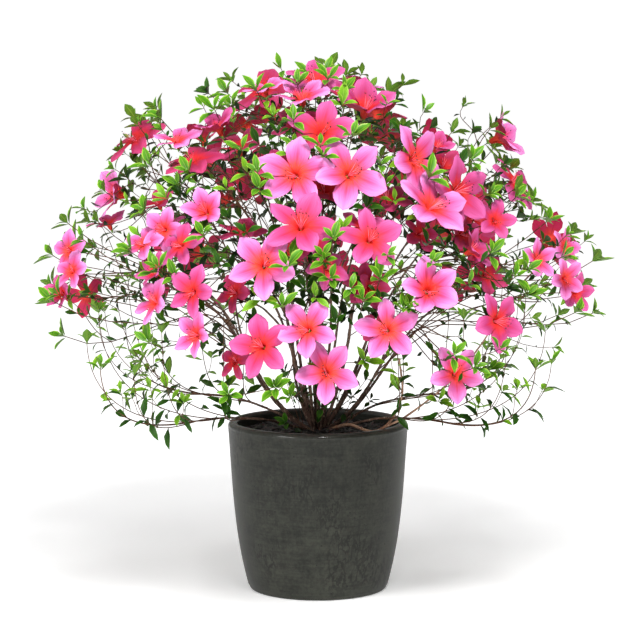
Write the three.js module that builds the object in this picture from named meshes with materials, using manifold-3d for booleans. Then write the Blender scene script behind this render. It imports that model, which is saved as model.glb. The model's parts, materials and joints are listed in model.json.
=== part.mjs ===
// A flowering azalea shrub in a round planter, in millimetres, +Z up. The origin is the
// middle of the planter's flat foot, and -Y is the side that the shrub turns to its viewer.
//
// The shrub is a clump of stems from one root crown. Limbs fan out from it, and each one
// ends where it enters its own mass of twigs, leaf whorls and blooms. The crown is a dome
// about its heart, and every mass keeps to a wedge of that dome.
import * as THREE from "three";
import { mergeVertices } from "three/addons/utils/BufferGeometryUtils.js";
import Module from "manifold-3d";

const wasm = await Module();
wasm.setup();

// ---------------------------------------------------------------- driving dimensions

const GAP = 0.3; // clearance between pieces that touch

const POT = {
  height: 225,
  footRadius: 90,
  wall: 13,
  floor: 14,
  lipRound: 7,
  // [height as a share, outer radius] of the bellied wall
  wallLine: [[0, 92.3], [0.133, 99.9], [0.356, 108.7], [0.689, 115.8], [0.965, 120]],
  sides: 28,
};
const SOIL = { top: 210, mound: 4, flat: 34 };
const ROOT_CROWN = { radius: 22, flare: 32, height: 22, sides: 12 };

// The dome of the crown: its heart's height, and how far it reaches to the side, up and down.
const CROWN = { heart: 402, side: 385, up: 318, down: 225 };

// Limbs: radii at the foot of the steepest and the flattest, and at the tip; their lean
// from the vertical where they leave the root crown; how far out they end, as a share of
// the crown's reach; and where the limbs that fork from another leave it.
const LIMB = {
  sides: 5,
  steps: 7,
  footSteep: 4.2,
  footFlat: 3.4,
  tip: 1.9,
  leanSteep: 13,
  leanFlat: 60,
  ring: 14,
  depth: 0.5,
  forkFirst: 0.37,
  forkNext: 0.13,
  forkTaper: 0.74,
};
const STEM = { sides: 3, steps: 3, tip: 1.3, depth: 0.76 };
const TWIG = { sides: 3, steps: 2, foot: 1.05, tip: 0.8 };

// A bloom's face stands before the foot of its tube by a share of its width. Depths are
// shares of the crown's reach, and a whorl's spread is how far it may lie from the middle.
const BLOOM = { petals: 5, tube: 0.36, depth: 0.87 };
const LEAF = { length: 28, width: 12, thickness: 1.6, sunk: 1 };
const WHORL = { leaves: 5, count: 5, depth: 0.97, depthRange: 0.07, spread: 96, lift: 0.7 };

// The masses of foliage: where each lies on the dome, in degrees (azimuth -90 is the
// front), how its blooms are turned about its middle, how many and how wide they are, and
// whether its limb rises from the root crown or forks from another.
const FRONT_MASSES = [
  { name: "top_front", azimuth: -104, elevation: 68, turn: 30, blooms: 3, bloom: 58, rooted: true },
  { name: "crown_front", azimuth: -89, elevation: 40, turn: 0, blooms: 3, bloom: 76, rooted: true },
  { name: "upper_left", azimuth: -130, elevation: 44, turn: 40, blooms: 3, bloom: 62, rooted: true },
  { name: "upper_right", azimuth: -59, elevation: 34, turn: 90, blooms: 3, bloom: 74, rooted: true },
  { name: "mid_front", azimuth: -94, elevation: 15, turn: 10, blooms: 3, bloom: 68 },
  { name: "mid_left", azimuth: -122, elevation: 20, turn: 40, blooms: 3, bloom: 54 },
  { name: "mid_right", azimuth: -38, elevation: 17, turn: 150, blooms: 2, bloom: 56 },
  { name: "low_front", azimuth: -93, elevation: -11, turn: 25, blooms: 3, bloom: 70 },
  { name: "low_front_right", azimuth: -74, elevation: 3, turn: 75, blooms: 3, bloom: 66 },
  { name: "low_left", azimuth: -118, elevation: 1, turn: 30, blooms: 3, bloom: 58 },
  { name: "low_right", azimuth: -54, elevation: -14, turn: 25, blooms: 2, bloom: 64 },
  { name: "far_left", azimuth: -164, elevation: 6, turn: 80, blooms: 3, bloom: 52, rooted: true },
  { name: "far_right", azimuth: -16, elevation: 6, turn: 20, blooms: 3, bloom: 52, rooted: true },
];
const BACK_UPPER = { count: 4, from: 10, to: 170, elevation: 37, blooms: 3, bloom: 64 };
const BACK_LOWER = { count: 5, from: 18, to: 162, elevation: 3, blooms: 3, bloom: 60 };
const TOP_BACK = { azimuth: 84, elevation: 66, blooms: 3, bloom: 58 };
// The long low shoots to either side. Their limbs clear the pot's rim and end at a reach
// and a height, and the shoots run on, sag and turn up. Elevations are on the dome.
const TRAILS = {
  azimuths: [-142, -38, 38, 142],
  elevation: -26,
  foot: 2.9,
  leanFoot: 74,
  limbReach: 200,
  limbHeight: 243,
  leanEnd: 94,
  sag: { run: 55, elevation: -52, depth: 1.04 },
  tip: { elevation: -21, depth: 0.96 },
  shoots: 3,
  swing: 20,
  leaves: 5,
  open: 40,
  steps: 5,
};

// ---------------------------------------------------------------- numbers and places

const DEGREE = Math.PI / 180;
const v3 = (x, y, z) => new THREE.Vector3(x, y, z);
const UP = v3(0, 0, 1);
const HEART = v3(0, 0, CROWN.heart);

// Numbers from 0 to 1 that are the same for one seed on every run.
function seeded(seed) {
  let state = (seed * 7919 + 104729) >>> 0;
  const draw = () => {
    state = (Math.imul(state, 1664525) + 1013904223) >>> 0;
    return state / 4294967296;
  };
  draw();
  draw();
  return draw;
}

// A place in the crown: depth is 0 at the heart and 1 at the dome's surface.
function crownPoint(azimuth, elevation, depth) {
  const a = azimuth * DEGREE;
  const e = elevation * DEGREE;
  const side = CROWN.side * Math.cos(e) * depth;
  const tall = (e > 0 ? CROWN.up : CROWN.down) * Math.sin(e) * depth;
  return v3(side * Math.cos(a), side * Math.sin(a), CROWN.heart + tall);
}

// The same place pushed to another depth along its line from the heart.
function atDepth(point, depth) {
  const out = point.clone().sub(HEART);
  const tall = out.z > 0 ? CROWN.up : CROWN.down;
  const now = Math.hypot(out.x / CROWN.side, out.y / CROWN.side, out.z / tall);
  return out.multiplyScalar(depth / now).add(HEART);
}

// The direction from the heart on a dome pressed to a ball, which parts the masses.
function direction(point) {
  const out = point.clone().sub(HEART);
  return v3(out.x / CROWN.side, out.y / CROWN.side, out.z / CROWN.up);
}

// A point of a path and the way it runs there, t going from 0 at its foot to 1.
function onPath(path, t) {
  const place = Math.min(t * (path.length - 1), path.length - 1.001);
  const i = Math.floor(place);
  return {
    at: path[i].clone().lerp(path[i + 1], place - i),
    way: path[i + 1].clone().sub(path[i]).normalize(),
  };
}

// A path that leaves one point along a way and comes to another along its own way.
function bent(start, startWay, end, endWay, steps, slack = 0.38) {
  const reach = slack * start.distanceTo(end);
  return new THREE.CubicBezierCurve3(
    start,
    start.clone().addScaledVector(startWay, reach),
    end.clone().addScaledVector(endWay, -reach),
    end,
  ).getPoints(steps);
}

// ---------------------------------------------------------------- the plan of the shrub

function spread(count, from, to, index) {
  return from + ((to - from) * index) / (count - 1);
}

function planMasses() {
  const masses = FRONT_MASSES.map((m) => ({ ...m }));
  masses.push({ name: "top_back", turn: 0, rooted: true, ...TOP_BACK });
  for (const [label, row] of [["back_upper", BACK_UPPER], ["back_lower", BACK_LOWER]]) {
    for (let i = 0; i < row.count; i++) {
      masses.push({
        name: `${label}_${i + 1}`,
        azimuth: spread(row.count, row.from, row.to, i),
        elevation: row.elevation,
        turn: 50 * i,
        blooms: row.blooms,
        bloom: row.bloom,
        rooted: row === BACK_UPPER && i % 2 === 0,
      });
    }
  }
  TRAILS.azimuths.forEach((azimuth, i) => {
    masses.push({
      name: `trail_${i + 1}`,
      azimuth,
      elevation: TRAILS.elevation,
      turn: 0,
      blooms: 0,
      bloom: 0,
      rooted: true,
      trail: true,
    });
  });
  masses.forEach((mass, i) => {
    mass.seed = i + 1;
    mass.centre = crownPoint(mass.azimuth, mass.elevation, 1);
    mass.way = direction(mass.centre).normalize();
    mass.out = mass.centre.clone().sub(HEART).normalize();
  });
  return masses;
}

// ---------------------------------------------------------------- limbs

// What goes evenly from its value on a steep limb to its value on a flat one.
const bySteepness = (mass, steep, flat) =>
  THREE.MathUtils.mapLinear(mass.elevation, 68, 4, steep, flat);

// The way that leans from the vertical towards an azimuth, in degrees.
function leaning(azimuth, lean) {
  const side = Math.sin(lean * DEGREE);
  const a = azimuth * DEGREE;
  return v3(side * Math.cos(a), side * Math.sin(a), Math.cos(lean * DEGREE));
}

// Where a limb ends and its mass begins, and the way it points there.
function limbEnd(mass) {
  if (mass.trail) {
    const out = leaning(mass.azimuth, 90);
    const point = out.multiplyScalar(TRAILS.limbReach).setZ(TRAILS.limbHeight);
    return { point, way: leaning(mass.azimuth, TRAILS.leanEnd) };
  }
  const point = crownPoint(mass.azimuth, mass.elevation, LIMB.depth);
  const outward = atDepth(point, 1).sub(HEART).normalize();
  return { point, way: outward.addScaledVector(UP, 0.25).normalize() };
}

function rootedLimb(mass) {
  const draw = seeded(100 + mass.seed);
  const lean = mass.trail ? TRAILS.leanFoot : bySteepness(mass, LIMB.leanSteep, LIMB.leanFlat);
  const way = leaning(mass.azimuth + 8 * (draw() - 0.5), lean);
  const start = v3(way.x * LIMB.ring, way.y * LIMB.ring, SOIL.top + 3);
  const end = limbEnd(mass);
  const path = bent(start, way, end.point, end.way, LIMB.steps);
  const foot = mass.trail ? TRAILS.foot : bySteepness(mass, LIMB.footSteep, LIMB.footFlat);
  return { mass, path, foot, end, forks: 0 };
}

function forkedLimb(mass, parent) {
  const fork = LIMB.forkFirst + LIMB.forkNext * parent.forks;
  parent.forks += 1;
  const start = onPath(parent.path, fork);
  const end = limbEnd(mass);
  const away = end.point.clone().sub(start.at).normalize();
  const way = away.lerp(start.way, 0.3).normalize();
  const path = bent(start.at, way, end.point, end.way, LIMB.steps - 1);
  return { mass, path, foot: LIMB.forkTaper * radiusAt(parent, fork), end, parent };
}

// One limb for each mass. The masses that have no limb of their own from the root crown
// take a fork of the one that points most nearly their way, the lowest first.
function makeLimbs(masses) {
  const rooted = masses.filter((m) => m.rooted).map(rootedLimb);
  const upright = rooted.filter((limb) => !limb.mass.trail);
  const nearness = (limb, mass) => limb.mass.way.dot(mass.way);
  const forked = masses
    .filter((m) => !m.rooted)
    .sort((a, b) => a.elevation - b.elevation)
    .map((mass) => {
      const parent = upright.reduce((a, b) => (nearness(a, mass) > nearness(b, mass) ? a : b));
      return forkedLimb(mass, parent);
    });
  return new Map([...rooted, ...forked].map((limb) => [limb.mass.name, limb]));
}

function radiusAt(limb, t) {
  return LIMB.tip + (limb.foot - LIMB.tip) * Math.pow(1 - t, 0.8);
}

// ---------------------------------------------------------------- solids

function asSolid(geometry) {
  const bare = geometry.clone();
  for (const name of ["normal", "uv"]) bare.deleteAttribute(name);
  const merged = mergeVertices(bare, 1e-4);
  const made = new wasm.Manifold(
    new wasm.Mesh({
      numProp: 3,
      vertProperties: merged.attributes.position.array,
      triVerts: new Uint32Array(merged.index.array),
    }),
  );
  if (made.volume() < 0) throw new Error("a piece is inside out");
  return made;
}

function asGeometry(solid) {
  const { vertProperties, triVerts, numProp, numVert } = solid.getMesh();
  const places = new Float32Array(numVert * 3);
  for (let i = 0; i < numVert; i++) {
    places.set(vertProperties.subarray(i * numProp, i * numProp + 3), i * 3);
  }
  const geometry = new THREE.BufferGeometry();
  geometry.setAttribute("position", new THREE.BufferAttribute(places, 3));
  geometry.setIndex(new THREE.BufferAttribute(triVerts, 1));
  geometry.computeVertexNormals();
  return geometry;
}

function fromFaces(points, faces) {
  const geometry = new THREE.BufferGeometry().setFromPoints(points);
  geometry.setIndex(faces.flat());
  return geometry;
}

// Rings of points along a path, turned as little as can be from one to the next. The first
// and the last ring face a way of their own, where one is given.
function ringsAlong(path, radius, sides, firstWay, lastWay) {
  const last = path.length - 1;
  const side = v3(0.6, 0.8, 0.1);
  const rings = [];
  for (let i = 0; i <= last; i++) {
    const ahead = path[Math.min(i + 1, last)].clone().sub(path[Math.max(i - 1, 0)]).normalize();
    const forward = (i === 0 && firstWay) || (i === last && lastWay) || ahead;
    side.addScaledVector(forward, -side.dot(forward)).normalize();
    const other = forward.clone().cross(side);
    for (let k = 0; k < sides; k++) {
      const a = (2 * Math.PI * k) / sides;
      const r = radius(i / last);
      rings.push(
        path[i].clone()
          .addScaledVector(side, r * Math.cos(a))
          .addScaledVector(other, r * Math.sin(a)),
      );
    }
    if (i === last) return { rings, side, other, forward };
  }
}

function wallFaces(sides, steps) {
  const faces = [];
  for (let i = 0; i < steps; i++) {
    for (let k = 0; k < sides; k++) {
      const a = i * sides + k;
      const b = i * sides + ((k + 1) % sides);
      faces.push([a, b, b + sides], [a, b + sides, a + sides]);
    }
  }
  for (let k = 1; k < sides - 1; k++) faces.push([0, k + 1, k]);
  return faces;
}

// A closed tapering rod along a path.
function rod(path, radius, sides, firstWay, lastWay) {
  const steps = path.length - 1;
  const { rings } = ringsAlong(path, radius, sides, firstWay, lastWay);
  const faces = wallFaces(sides, steps);
  const last = steps * sides;
  for (let k = 1; k < sides - 1; k++) faces.push([last, last + k, last + k + 1]);
  return fromFaces(rings, faces);
}

// A twig that opens into a star of blades at its end: a bloom or a whorl of leaves. Each
// blade runs over a notch, its left edge, its tip and its right edge, given as [radius,
// angle, height] round the twig's last way, and the front closes on one middle point.
function sprig(path, radius, star, way, roll) {
  const { rings, side, other, forward } = ringsAlong(path, radius, TWIG.sides, null, way);
  const end = path[path.length - 1];
  const spot = ([r, angle, z]) =>
    end.clone()
      .addScaledVector(side, r * Math.cos(angle + roll))
      .addScaledVector(other, r * Math.sin(angle + roll))
      .addScaledVector(forward, z);
  const points = [...rings, ...star.rim.map(spot), spot([0, 0, star.middle])];
  const faces = wallFaces(TWIG.sides, path.length - 1);
  const lastRing = rings.length - TWIG.sides;
  const count = star.rim.length;
  const middle = points.length - 1;
  const nearest = (i) => {
    const turns = (star.rim[i % count][1] + roll) / (2 * Math.PI) + (i === count ? 1 : 0);
    return Math.round(turns * TWIG.sides);
  };
  const onRing = (n) => lastRing + (((n % TWIG.sides) + TWIG.sides) % TWIG.sides);
  for (let i = 0; i < count; i++) {
    const here = rings.length + i;
    const next = rings.length + ((i + 1) % count);
    faces.push([middle, here, next], [onRing(nearest(i)), next, here]);
    if (nearest(i) !== nearest(i + 1)) {
      faces.push([onRing(nearest(i)), onRing(nearest(i + 1)), next]);
    }
  }
  return fromFaces(points, faces);
}

// Turns and moves a geometry so that its +Z points along way from a point.
function placed(geometry, at, way) {
  const turn = new THREE.Quaternion().setFromUnitVectors(UP, way);
  return geometry.applyQuaternion(turn).translate(at.x, at.y, at.z);
}

// The rim of a star, one blade after another. edge(middle) lists a blade's four points.
function starRim(blades, edge) {
  const rim = [];
  for (let k = 0; k < blades; k++) rim.push(...edge((2 * Math.PI * k) / blades));
  return rim;
}

// An azalea bloom: a funnel with five broad petals that part near its throat. Heights are
// from the foot of its tube.
function bloomStar(size) {
  const face = BLOOM.tube * size;
  const apart = Math.PI / BLOOM.petals;
  return {
    middle: face - 0.2 * size,
    rim: starRim(BLOOM.petals, (a) => [
      [0.15 * size, a - apart, face - 0.1 * size],
      [0.38 * size, a - 0.44, face],
      [0.5 * size, a, face - 0.03 * size],
      [0.38 * size, a + 0.44, face],
    ]),
  };
}

// A whorl of leaves at a shoot's tip, opened by an angle from the shoot's way.
function whorlStar(length, open) {
  const out = length * Math.sin(open);
  const high = length * Math.cos(open);
  const half = (0.5 * LEAF.width) / (0.58 * out);
  return {
    middle: 0.1 * length,
    rim: starRim(WHORL.leaves, (a) => [
      [0.08 * length, a - Math.PI / WHORL.leaves, 0.05 * length],
      [0.58 * out, a - half, 0.62 * high],
      [out, a, 0.86 * high],
      [0.58 * out, a + half, 0.62 * high],
    ]),
  };
}

// One leaf of eight faces, its root at the origin and its tip along +Z.
function leafShape(length) {
  const width = (0.5 * LEAF.width * length) / LEAF.length;
  return new THREE.OctahedronGeometry(1)
    .scale(width, 0.5 * LEAF.thickness, 0.5 * length)
    .translate(0, 0, 0.5 * length);
}

// ---------------------------------------------------------------- masses

// The cell test: every point has to lie nearer this mass's way than any other's.
const CELL_MARGIN = 0.0035; // of the crown's reach, so about 1.2 mm
function inCell(mass, masses, points) {
  return points.every((p) => {
    const d = direction(p);
    return masses.every((other) => {
      if (other === mass) return true;
      const apart = mass.way.clone().sub(other.way);
      return d.dot(apart) / apart.length() > CELL_MARGIN;
    });
  });
}

// Whether a ball about a point stays clear of every limb.
function clearOfLimbs(point, radius, samples) {
  return samples.every((s) => point.distanceTo(s.at) > radius + s.radius);
}

function limbSamples(limbs) {
  const count = 40;
  return [...limbs.values()].flatMap((limb) =>
    [...Array(count + 1).keys()].map((i) => ({
      at: onPath(limb.path, i / count).at,
      radius: radiusAt(limb, i / count) + GAP,
    })),
  );
}

// The stem of a mass, which carries its twigs.
function massStem(mass, end) {
  const start = end.point.clone().addScaledVector(end.way, GAP);
  if (mass.trail) return sagging(start, end.way, mass.azimuth, TRAILS.tip.elevation);
  const tip = crownPoint(mass.azimuth, mass.elevation, STEM.depth);
  return bent(start, end.way, tip, mass.out, STEM.steps);
}

// A bloom or a whorl looks outward, and up by a lift on top of what its height gives it.
function facing(point, lift) {
  const out = v3(point.x, point.y, 0).normalize();
  const rise = (0.55 * (point.z - CROWN.heart)) / CROWN.up + lift;
  return out.addScaledVector(UP, rise).normalize();
}

// A spot beside a mass's middle: angle is clockwise from up, as seen from outside.
function beside(mass, angle, distance, depth) {
  const a = angle * DEGREE;
  const right = v3(-mass.out.y, mass.out.x, 0).normalize();
  const rise = mass.out.clone().cross(right).normalize();
  const spot = atDepth(mass.centre, depth)
    .addScaledVector(right, distance * Math.sin(a))
    .addScaledVector(rise, distance * Math.cos(a));
  return atDepth(spot, depth);
}

// Points round the edge of a disc, to test whether it stays inside a cell.
function discEdge(middle, way, radius) {
  const side = UP.clone().cross(way).normalize();
  const other = way.clone().cross(side);
  return [...Array(8).keys()].map((i) => {
    const a = (i * Math.PI) / 4;
    return middle.clone()
      .addScaledVector(side, radius * Math.cos(a))
      .addScaledVector(other, radius * Math.sin(a));
  });
}

// Where the blooms and leaf whorls of a mass sit. Each is drawn in towards the middle of
// its mass until it fits, and left out if it never does.
function planHeads(mass, fits) {
  const draw = seeded(mass.seed);
  const heads = [];
  const settle = ({ angle, distance, depth, lift, height, radius, room, ...head }) => {
    for (let far = distance; far > 0.15 * distance; far *= 0.86) {
      const at = beside(mass, angle, far, depth);
      const way = facing(at, lift);
      const middle = at.clone().addScaledVector(way, height);
      const apart = heads.every((h) => h.middle.distanceTo(middle) > h.room + room);
      if (apart && fits(discEdge(middle, way, radius).concat([at]), middle, radius)) {
        heads.push({ ...head, at, way, middle, room });
        return;
      }
    }
  };
  for (let k = 0; k < mass.blooms; k++) {
    const size = mass.bloom * (0.92 + 0.16 * draw());
    settle({
      kind: "bloom",
      size,
      angle: mass.turn + (360 * k) / mass.blooms + 14 * (draw() - 0.5),
      lift: 0.2 * (draw() - 0.35),
      roll: 2 * Math.PI * draw(),
      distance: 0.66 * size,
      depth: BLOOM.depth,
      height: BLOOM.tube * size,
      radius: 0.5 * size,
      room: 0.45 * size,
    });
  }
  for (let k = 0; k < WHORL.count; k++) {
    const size = LEAF.length * (0.85 + 0.3 * draw());
    settle({
      kind: "whorl",
      size,
      angle: mass.turn + 60 + 137.5 * k + 20 * (draw() - 0.5),
      depth: WHORL.depth - WHORL.depthRange * draw(),
      open: (40 + 16 * draw()) * DEGREE,
      roll: 2 * Math.PI * draw(),
      distance: WHORL.spread * Math.sqrt((k + 1.2) / WHORL.count),
      lift: WHORL.lift,
      height: 0.5 * size,
      radius: 0.8 * size,
      room: 0.32 * size,
    });
  }
  return heads;
}

// A shoot that runs out low beside the pot and turns up to its tip.
function sagging(start, way, azimuth, elevation) {
  return new THREE.CubicBezierCurve3(
    start,
    start.clone().addScaledVector(way, TRAILS.sag.run),
    crownPoint(azimuth, TRAILS.sag.elevation, TRAILS.sag.depth),
    crownPoint(azimuth, elevation, TRAILS.tip.depth),
  ).getPoints(TRAILS.steps);
}

function planShoots(mass, stem) {
  const draw = seeded(mass.seed);
  return [...Array(TRAILS.shoots).keys()].map((k) => {
    const swing = spread(TRAILS.shoots, -TRAILS.swing, TRAILS.swing, k) + 4 * (draw() - 0.5);
    const start = onPath(stem, 0.1 + 0.12 * k);
    const elevation = TRAILS.tip.elevation - 7 + 9 * draw();
    return sagging(start.at, start.way, mass.azimuth + swing, elevation);
  });
}

// A leaf that grows from a path to one side, its root sunk into the wood.
function leafBeside(path, t, side, length, tilt) {
  const { at, way } = onPath(path, t);
  const across = way.clone().cross(UP).normalize();
  const out = way.multiplyScalar(0.55)
    .addScaledVector(across, side)
    .addScaledVector(UP, tilt)
    .normalize();
  return placed(leafShape(length), at.addScaledVector(out, -LEAF.sunk), out);
}

const tapering = (foot, tip) => (t) => foot + (tip - foot) * t;

// The largest body of a solid: what no longer holds on to it is dropped.
const largest = (solid) => solid.decompose().sort((a, b) => b.volume() - a.volume())[0];

// One mass of foliage, fused into a single solid. A piece is left out where it would leave
// the mass's own space or touch a limb, and whatever it would carry goes with it.
function makeMass(mass, masses, limb, samples) {
  const draw = seeded(500 + mass.seed);
  const stem = massStem(mass, limb.end);
  const stemTaper = tapering(LIMB.tip, STEM.tip);
  const grown = [asSolid(rod(stem, stemTaper, STEM.sides, limb.end.way))];
  const grow = (geometry) => {
    const places = geometry.attributes.position;
    const points = [...Array(places.count).keys()].map((i) =>
      v3().fromBufferAttribute(places, i),
    );
    const room = inCell(mass, masses, points)
      && points.every((p) => clearOfLimbs(p, 2 * GAP, samples));
    if (room) grown.push(asSolid(geometry));
    return room;
  };
  const twigTaper = tapering(TWIG.foot, TWIG.tip);

  if (mass.trail) {
    const star = whorlStar(LEAF.length, TRAILS.open * DEGREE);
    for (const path of [stem, ...planShoots(mass, stem)]) {
      if (!grow(sprig(path, twigTaper, star, onPath(path, 1).way, 0))) continue;
      for (let i = 0; i < TRAILS.leaves; i++) {
        const t = spread(TRAILS.leaves, 0.25, 0.9, i);
        grow(leafBeside(path, t, i % 2 ? 1 : -1, LEAF.length * (0.8 + 0.3 * draw()), 0.2));
      }
    }
    return largest(wasm.Manifold.union(grown));
  }

  const fits = (points, middle, radius) =>
    inCell(mass, masses, points) && clearOfLimbs(middle, radius, samples);
  planHeads(mass, fits).forEach((head, k) => {
    const start = onPath(stem, 0.3 + 0.085 * k);
    const toHead = head.at.clone().sub(start.at).normalize();
    const path = bent(start.at, toHead.add(start.way).normalize(), head.at, head.way, TWIG.steps);
    const star = head.kind === "bloom" ? bloomStar(head.size) : whorlStar(head.size, head.open);
    grow(sprig(path, twigTaper, star, head.way, head.roll));
  });
  return largest(wasm.Manifold.union(grown));
}

// ---------------------------------------------------------------- pot and soil

function turned(profile, sides) {
  const line = profile.map(([r, z]) => new THREE.Vector2(r, z));
  return new THREE.LatheGeometry(line, sides).rotateX(Math.PI / 2);
}

function arc(r, z, radius, from, to, steps) {
  return [...Array(steps + 1).keys()].map((i) => {
    const a = (from + ((to - from) * i) / steps) * DEGREE;
    return [r + radius * Math.cos(a), z + radius * Math.sin(a)];
  });
}

function makePot() {
  const outer = POT.wallLine.map(([share, r]) => [r, Math.max(share * POT.height, 2)]);
  const rim = outer[outer.length - 1][0];
  const lip = arc(rim - POT.lipRound, POT.height - POT.lipRound, POT.lipRound, 20, 90, 3);
  const inner = [
    [rim - POT.wall + 2, POT.height],
    [rim - POT.wall, POT.height - 3],
    ...[...outer].reverse().slice(1, -1).map(([r, z]) => [r - POT.wall, z]),
    [POT.footRadius - POT.wall, POT.floor],
  ];
  const profile = [[0, 0], [POT.footRadius, 0], ...outer, ...lip, ...inner, [0, POT.floor]];
  return turned(profile, POT.sides);
}

// The soil fills the pot, a hair clear of its wall, and rises a little to the stems.
function makeSoil() {
  const wallAt = (z) => {
    const line = POT.wallLine;
    const share = z / POT.height;
    const i = line.findIndex(([s]) => s >= share);
    const [s0, r0] = line[i - 1];
    const [s1, r1] = line[i];
    return r0 + ((r1 - r0) * (share - s0)) / (s1 - s0) - POT.wall;
  };
  const low = POT.floor + GAP;
  const edge = SOIL.top - SOIL.mound;
  const clear = 3 * GAP;
  const levels = POT.wallLine.slice(1, -1).map(([share]) => share * POT.height);
  return turned(
    [
      [0, low],
      [POT.footRadius - POT.wall - clear, low],
      ...levels.map((z) => [wallAt(z) - clear, z]),
      [wallAt(edge) - clear, edge],
      [SOIL.flat, SOIL.top],
      [0, SOIL.top],
    ],
    POT.sides,
  );
}

function rootCrownShape(grow) {
  const z = SOIL.top + GAP;
  const { radius, flare, height, sides } = ROOT_CROWN;
  return turned(
    [
      [0, z],
      [flare + grow, z],
      [radius * 1.05 + grow, z + 0.25 * height],
      [radius * 0.93 + grow, z + 0.62 * height],
      [radius * 0.6 + grow, z + 0.9 * height + grow],
      [0, z + height + grow],
    ],
    sides,
  );
}

// ---------------------------------------------------------------- the shrub

const FINISH = {
  pot: { color: 0x3f4140, roughness: 0.45, metalness: 0 },
  soil: { color: 0x15110f, roughness: 1, metalness: 0 },
  bark: { color: 0x4b2f29, roughness: 0.85, metalness: 0 },
  bloom: { color: 0xf0619f, roughness: 0.6, metalness: 0 },
  leaf: { color: 0x4ba022, roughness: 0.5, metalness: 0 },
};

const shrub = new THREE.Group();
function addPiece(name, geometry, finish) {
  const mesh = new THREE.Mesh(geometry, new THREE.MeshStandardMaterial(FINISH[finish]));
  mesh.name = name;
  shrub.add(mesh);
}

addPiece("pot", makePot(), "pot");
addPiece("soil", makeSoil(), "soil");
addPiece("root_crown", rootCrownShape(0), "bark");

const masses = planMasses();
const limbs = makeLimbs(masses);
const samples = limbSamples(limbs);

// A limb as a solid, grown so that its flat sides stand out by a clearance.
function limbSolid(limb, clearance) {
  const grow = clearance / Math.cos(Math.PI / LIMB.sides);
  const radius = (t) => radiusAt(limb, t) + grow;
  return asSolid(rod(limb.path, radius, LIMB.sides, null, limb.end.way));
}

// Each limb is cut clear of what carries it.
for (const [name, limb] of limbs) {
  const carrier = limb.parent ? limbSolid(limb.parent, GAP) : asSolid(rootCrownShape(2 * GAP));
  addPiece(`limb_${name}`, asGeometry(largest(limbSolid(limb, 0).subtract(carrier))), "bark");
}
for (const mass of masses) {
  const solid = makeMass(mass, masses, limbs.get(mass.name), samples);
  addPiece(`foliage_${mass.name}`, asGeometry(solid), mass.trail ? "leaf" : "bloom");
}

export default shrub;
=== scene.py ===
# %% [markdown]
# # A potted azalea in full bloom
# This lesson dresses a rounded azalea shrub that grows in a plain round planter. Its
# solids come first, as a fixed frame: a pot, its soil, a root crown, 27 limbs and 27 masses
# of foliage. Every piece made below stands for some of those solids and keeps to their
# place, so the frame is loaded before anything else.

# %% Load the frame
import json
import math

import bpy
import numpy as np
from mathutils import Matrix, Vector

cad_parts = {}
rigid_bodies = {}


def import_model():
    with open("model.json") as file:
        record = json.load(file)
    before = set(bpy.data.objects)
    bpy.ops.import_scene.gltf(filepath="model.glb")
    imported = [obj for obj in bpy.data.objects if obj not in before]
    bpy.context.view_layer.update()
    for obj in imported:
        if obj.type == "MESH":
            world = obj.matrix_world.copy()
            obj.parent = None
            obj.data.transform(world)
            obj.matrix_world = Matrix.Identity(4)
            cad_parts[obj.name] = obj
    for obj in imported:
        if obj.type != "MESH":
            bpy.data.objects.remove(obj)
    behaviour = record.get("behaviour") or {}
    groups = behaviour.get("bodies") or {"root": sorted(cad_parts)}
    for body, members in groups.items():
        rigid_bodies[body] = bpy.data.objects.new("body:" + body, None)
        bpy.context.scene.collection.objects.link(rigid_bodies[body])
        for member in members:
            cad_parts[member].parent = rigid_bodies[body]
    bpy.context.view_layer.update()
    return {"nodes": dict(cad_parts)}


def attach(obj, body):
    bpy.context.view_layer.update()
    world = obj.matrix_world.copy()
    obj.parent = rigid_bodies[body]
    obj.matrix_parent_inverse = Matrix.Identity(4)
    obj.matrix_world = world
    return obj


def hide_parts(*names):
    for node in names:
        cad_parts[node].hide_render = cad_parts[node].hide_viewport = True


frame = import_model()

MM = 0.001  # the growing is worked out in millimetres and drawn in metres

# %% [markdown]
# ## The rule that the shrub grows by
# A shrub isn't sculpted twig by twig: it follows a rule. The limbs leave the root crown in
# a ring, lean out by how low their part of the crown lies, and end inside it. The same
# rule and the same seeds were used for the solids, so the limbs drawn here run exactly
# where theirs do. Places in the crown are given by azimuth, elevation and depth, where
# depth 0 is the heart of the dome and 1 its surface.

# %% Draws
def vec(x, y, z):
    return np.array([x, y, z], float)


def unit(v):
    return v / np.linalg.norm(v)


UP = vec(0, 0, 1)
GOLDEN = 137.5  # degrees from one spot of a spiral to the next
ROUND = 6.28  # radians that a drawn roll goes up to
CROWN = {"heart": 402, "side": 385, "up": 318, "down": 225}
HEART = vec(0, 0, CROWN["heart"])
REACH = vec(CROWN["side"], CROWN["side"], CROWN["up"])

FACTOR, SHIFT, SPAN = 1664525, 1013904223, 2**32  # of the draws, the same as for the solids


def seeded(seed):
    """Numbers from 0 to 1 that are the same for one seed on every run."""
    state = (seed * 7919 + 104729) % SPAN

    def draw():
        nonlocal state
        state = (state * FACTOR + SHIFT) % SPAN
        return state / SPAN

    draw(), draw()
    return draw


FIRST_SEED = {"heads": 0, "limbs": 100, "slim stems": 700, "wander": 900, "twigs": 1000,
              "growth": 2000, "trails": 3000, "low shoots": 4000}


def draws_of(step, mass):
    """The draws that one step has for one mass."""
    return seeded(FIRST_SEED[step] + mass["seed"])


# %% Places in the crown
def crown_point(azimuth, elevation, depth):
    a, e = math.radians(azimuth), math.radians(elevation)
    side = CROWN["side"] * math.cos(e) * depth
    tall = CROWN["up" if elevation > 0 else "down"] * math.sin(e) * depth
    return vec(side * math.cos(a), side * math.sin(a), CROWN["heart"] + tall)


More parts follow.
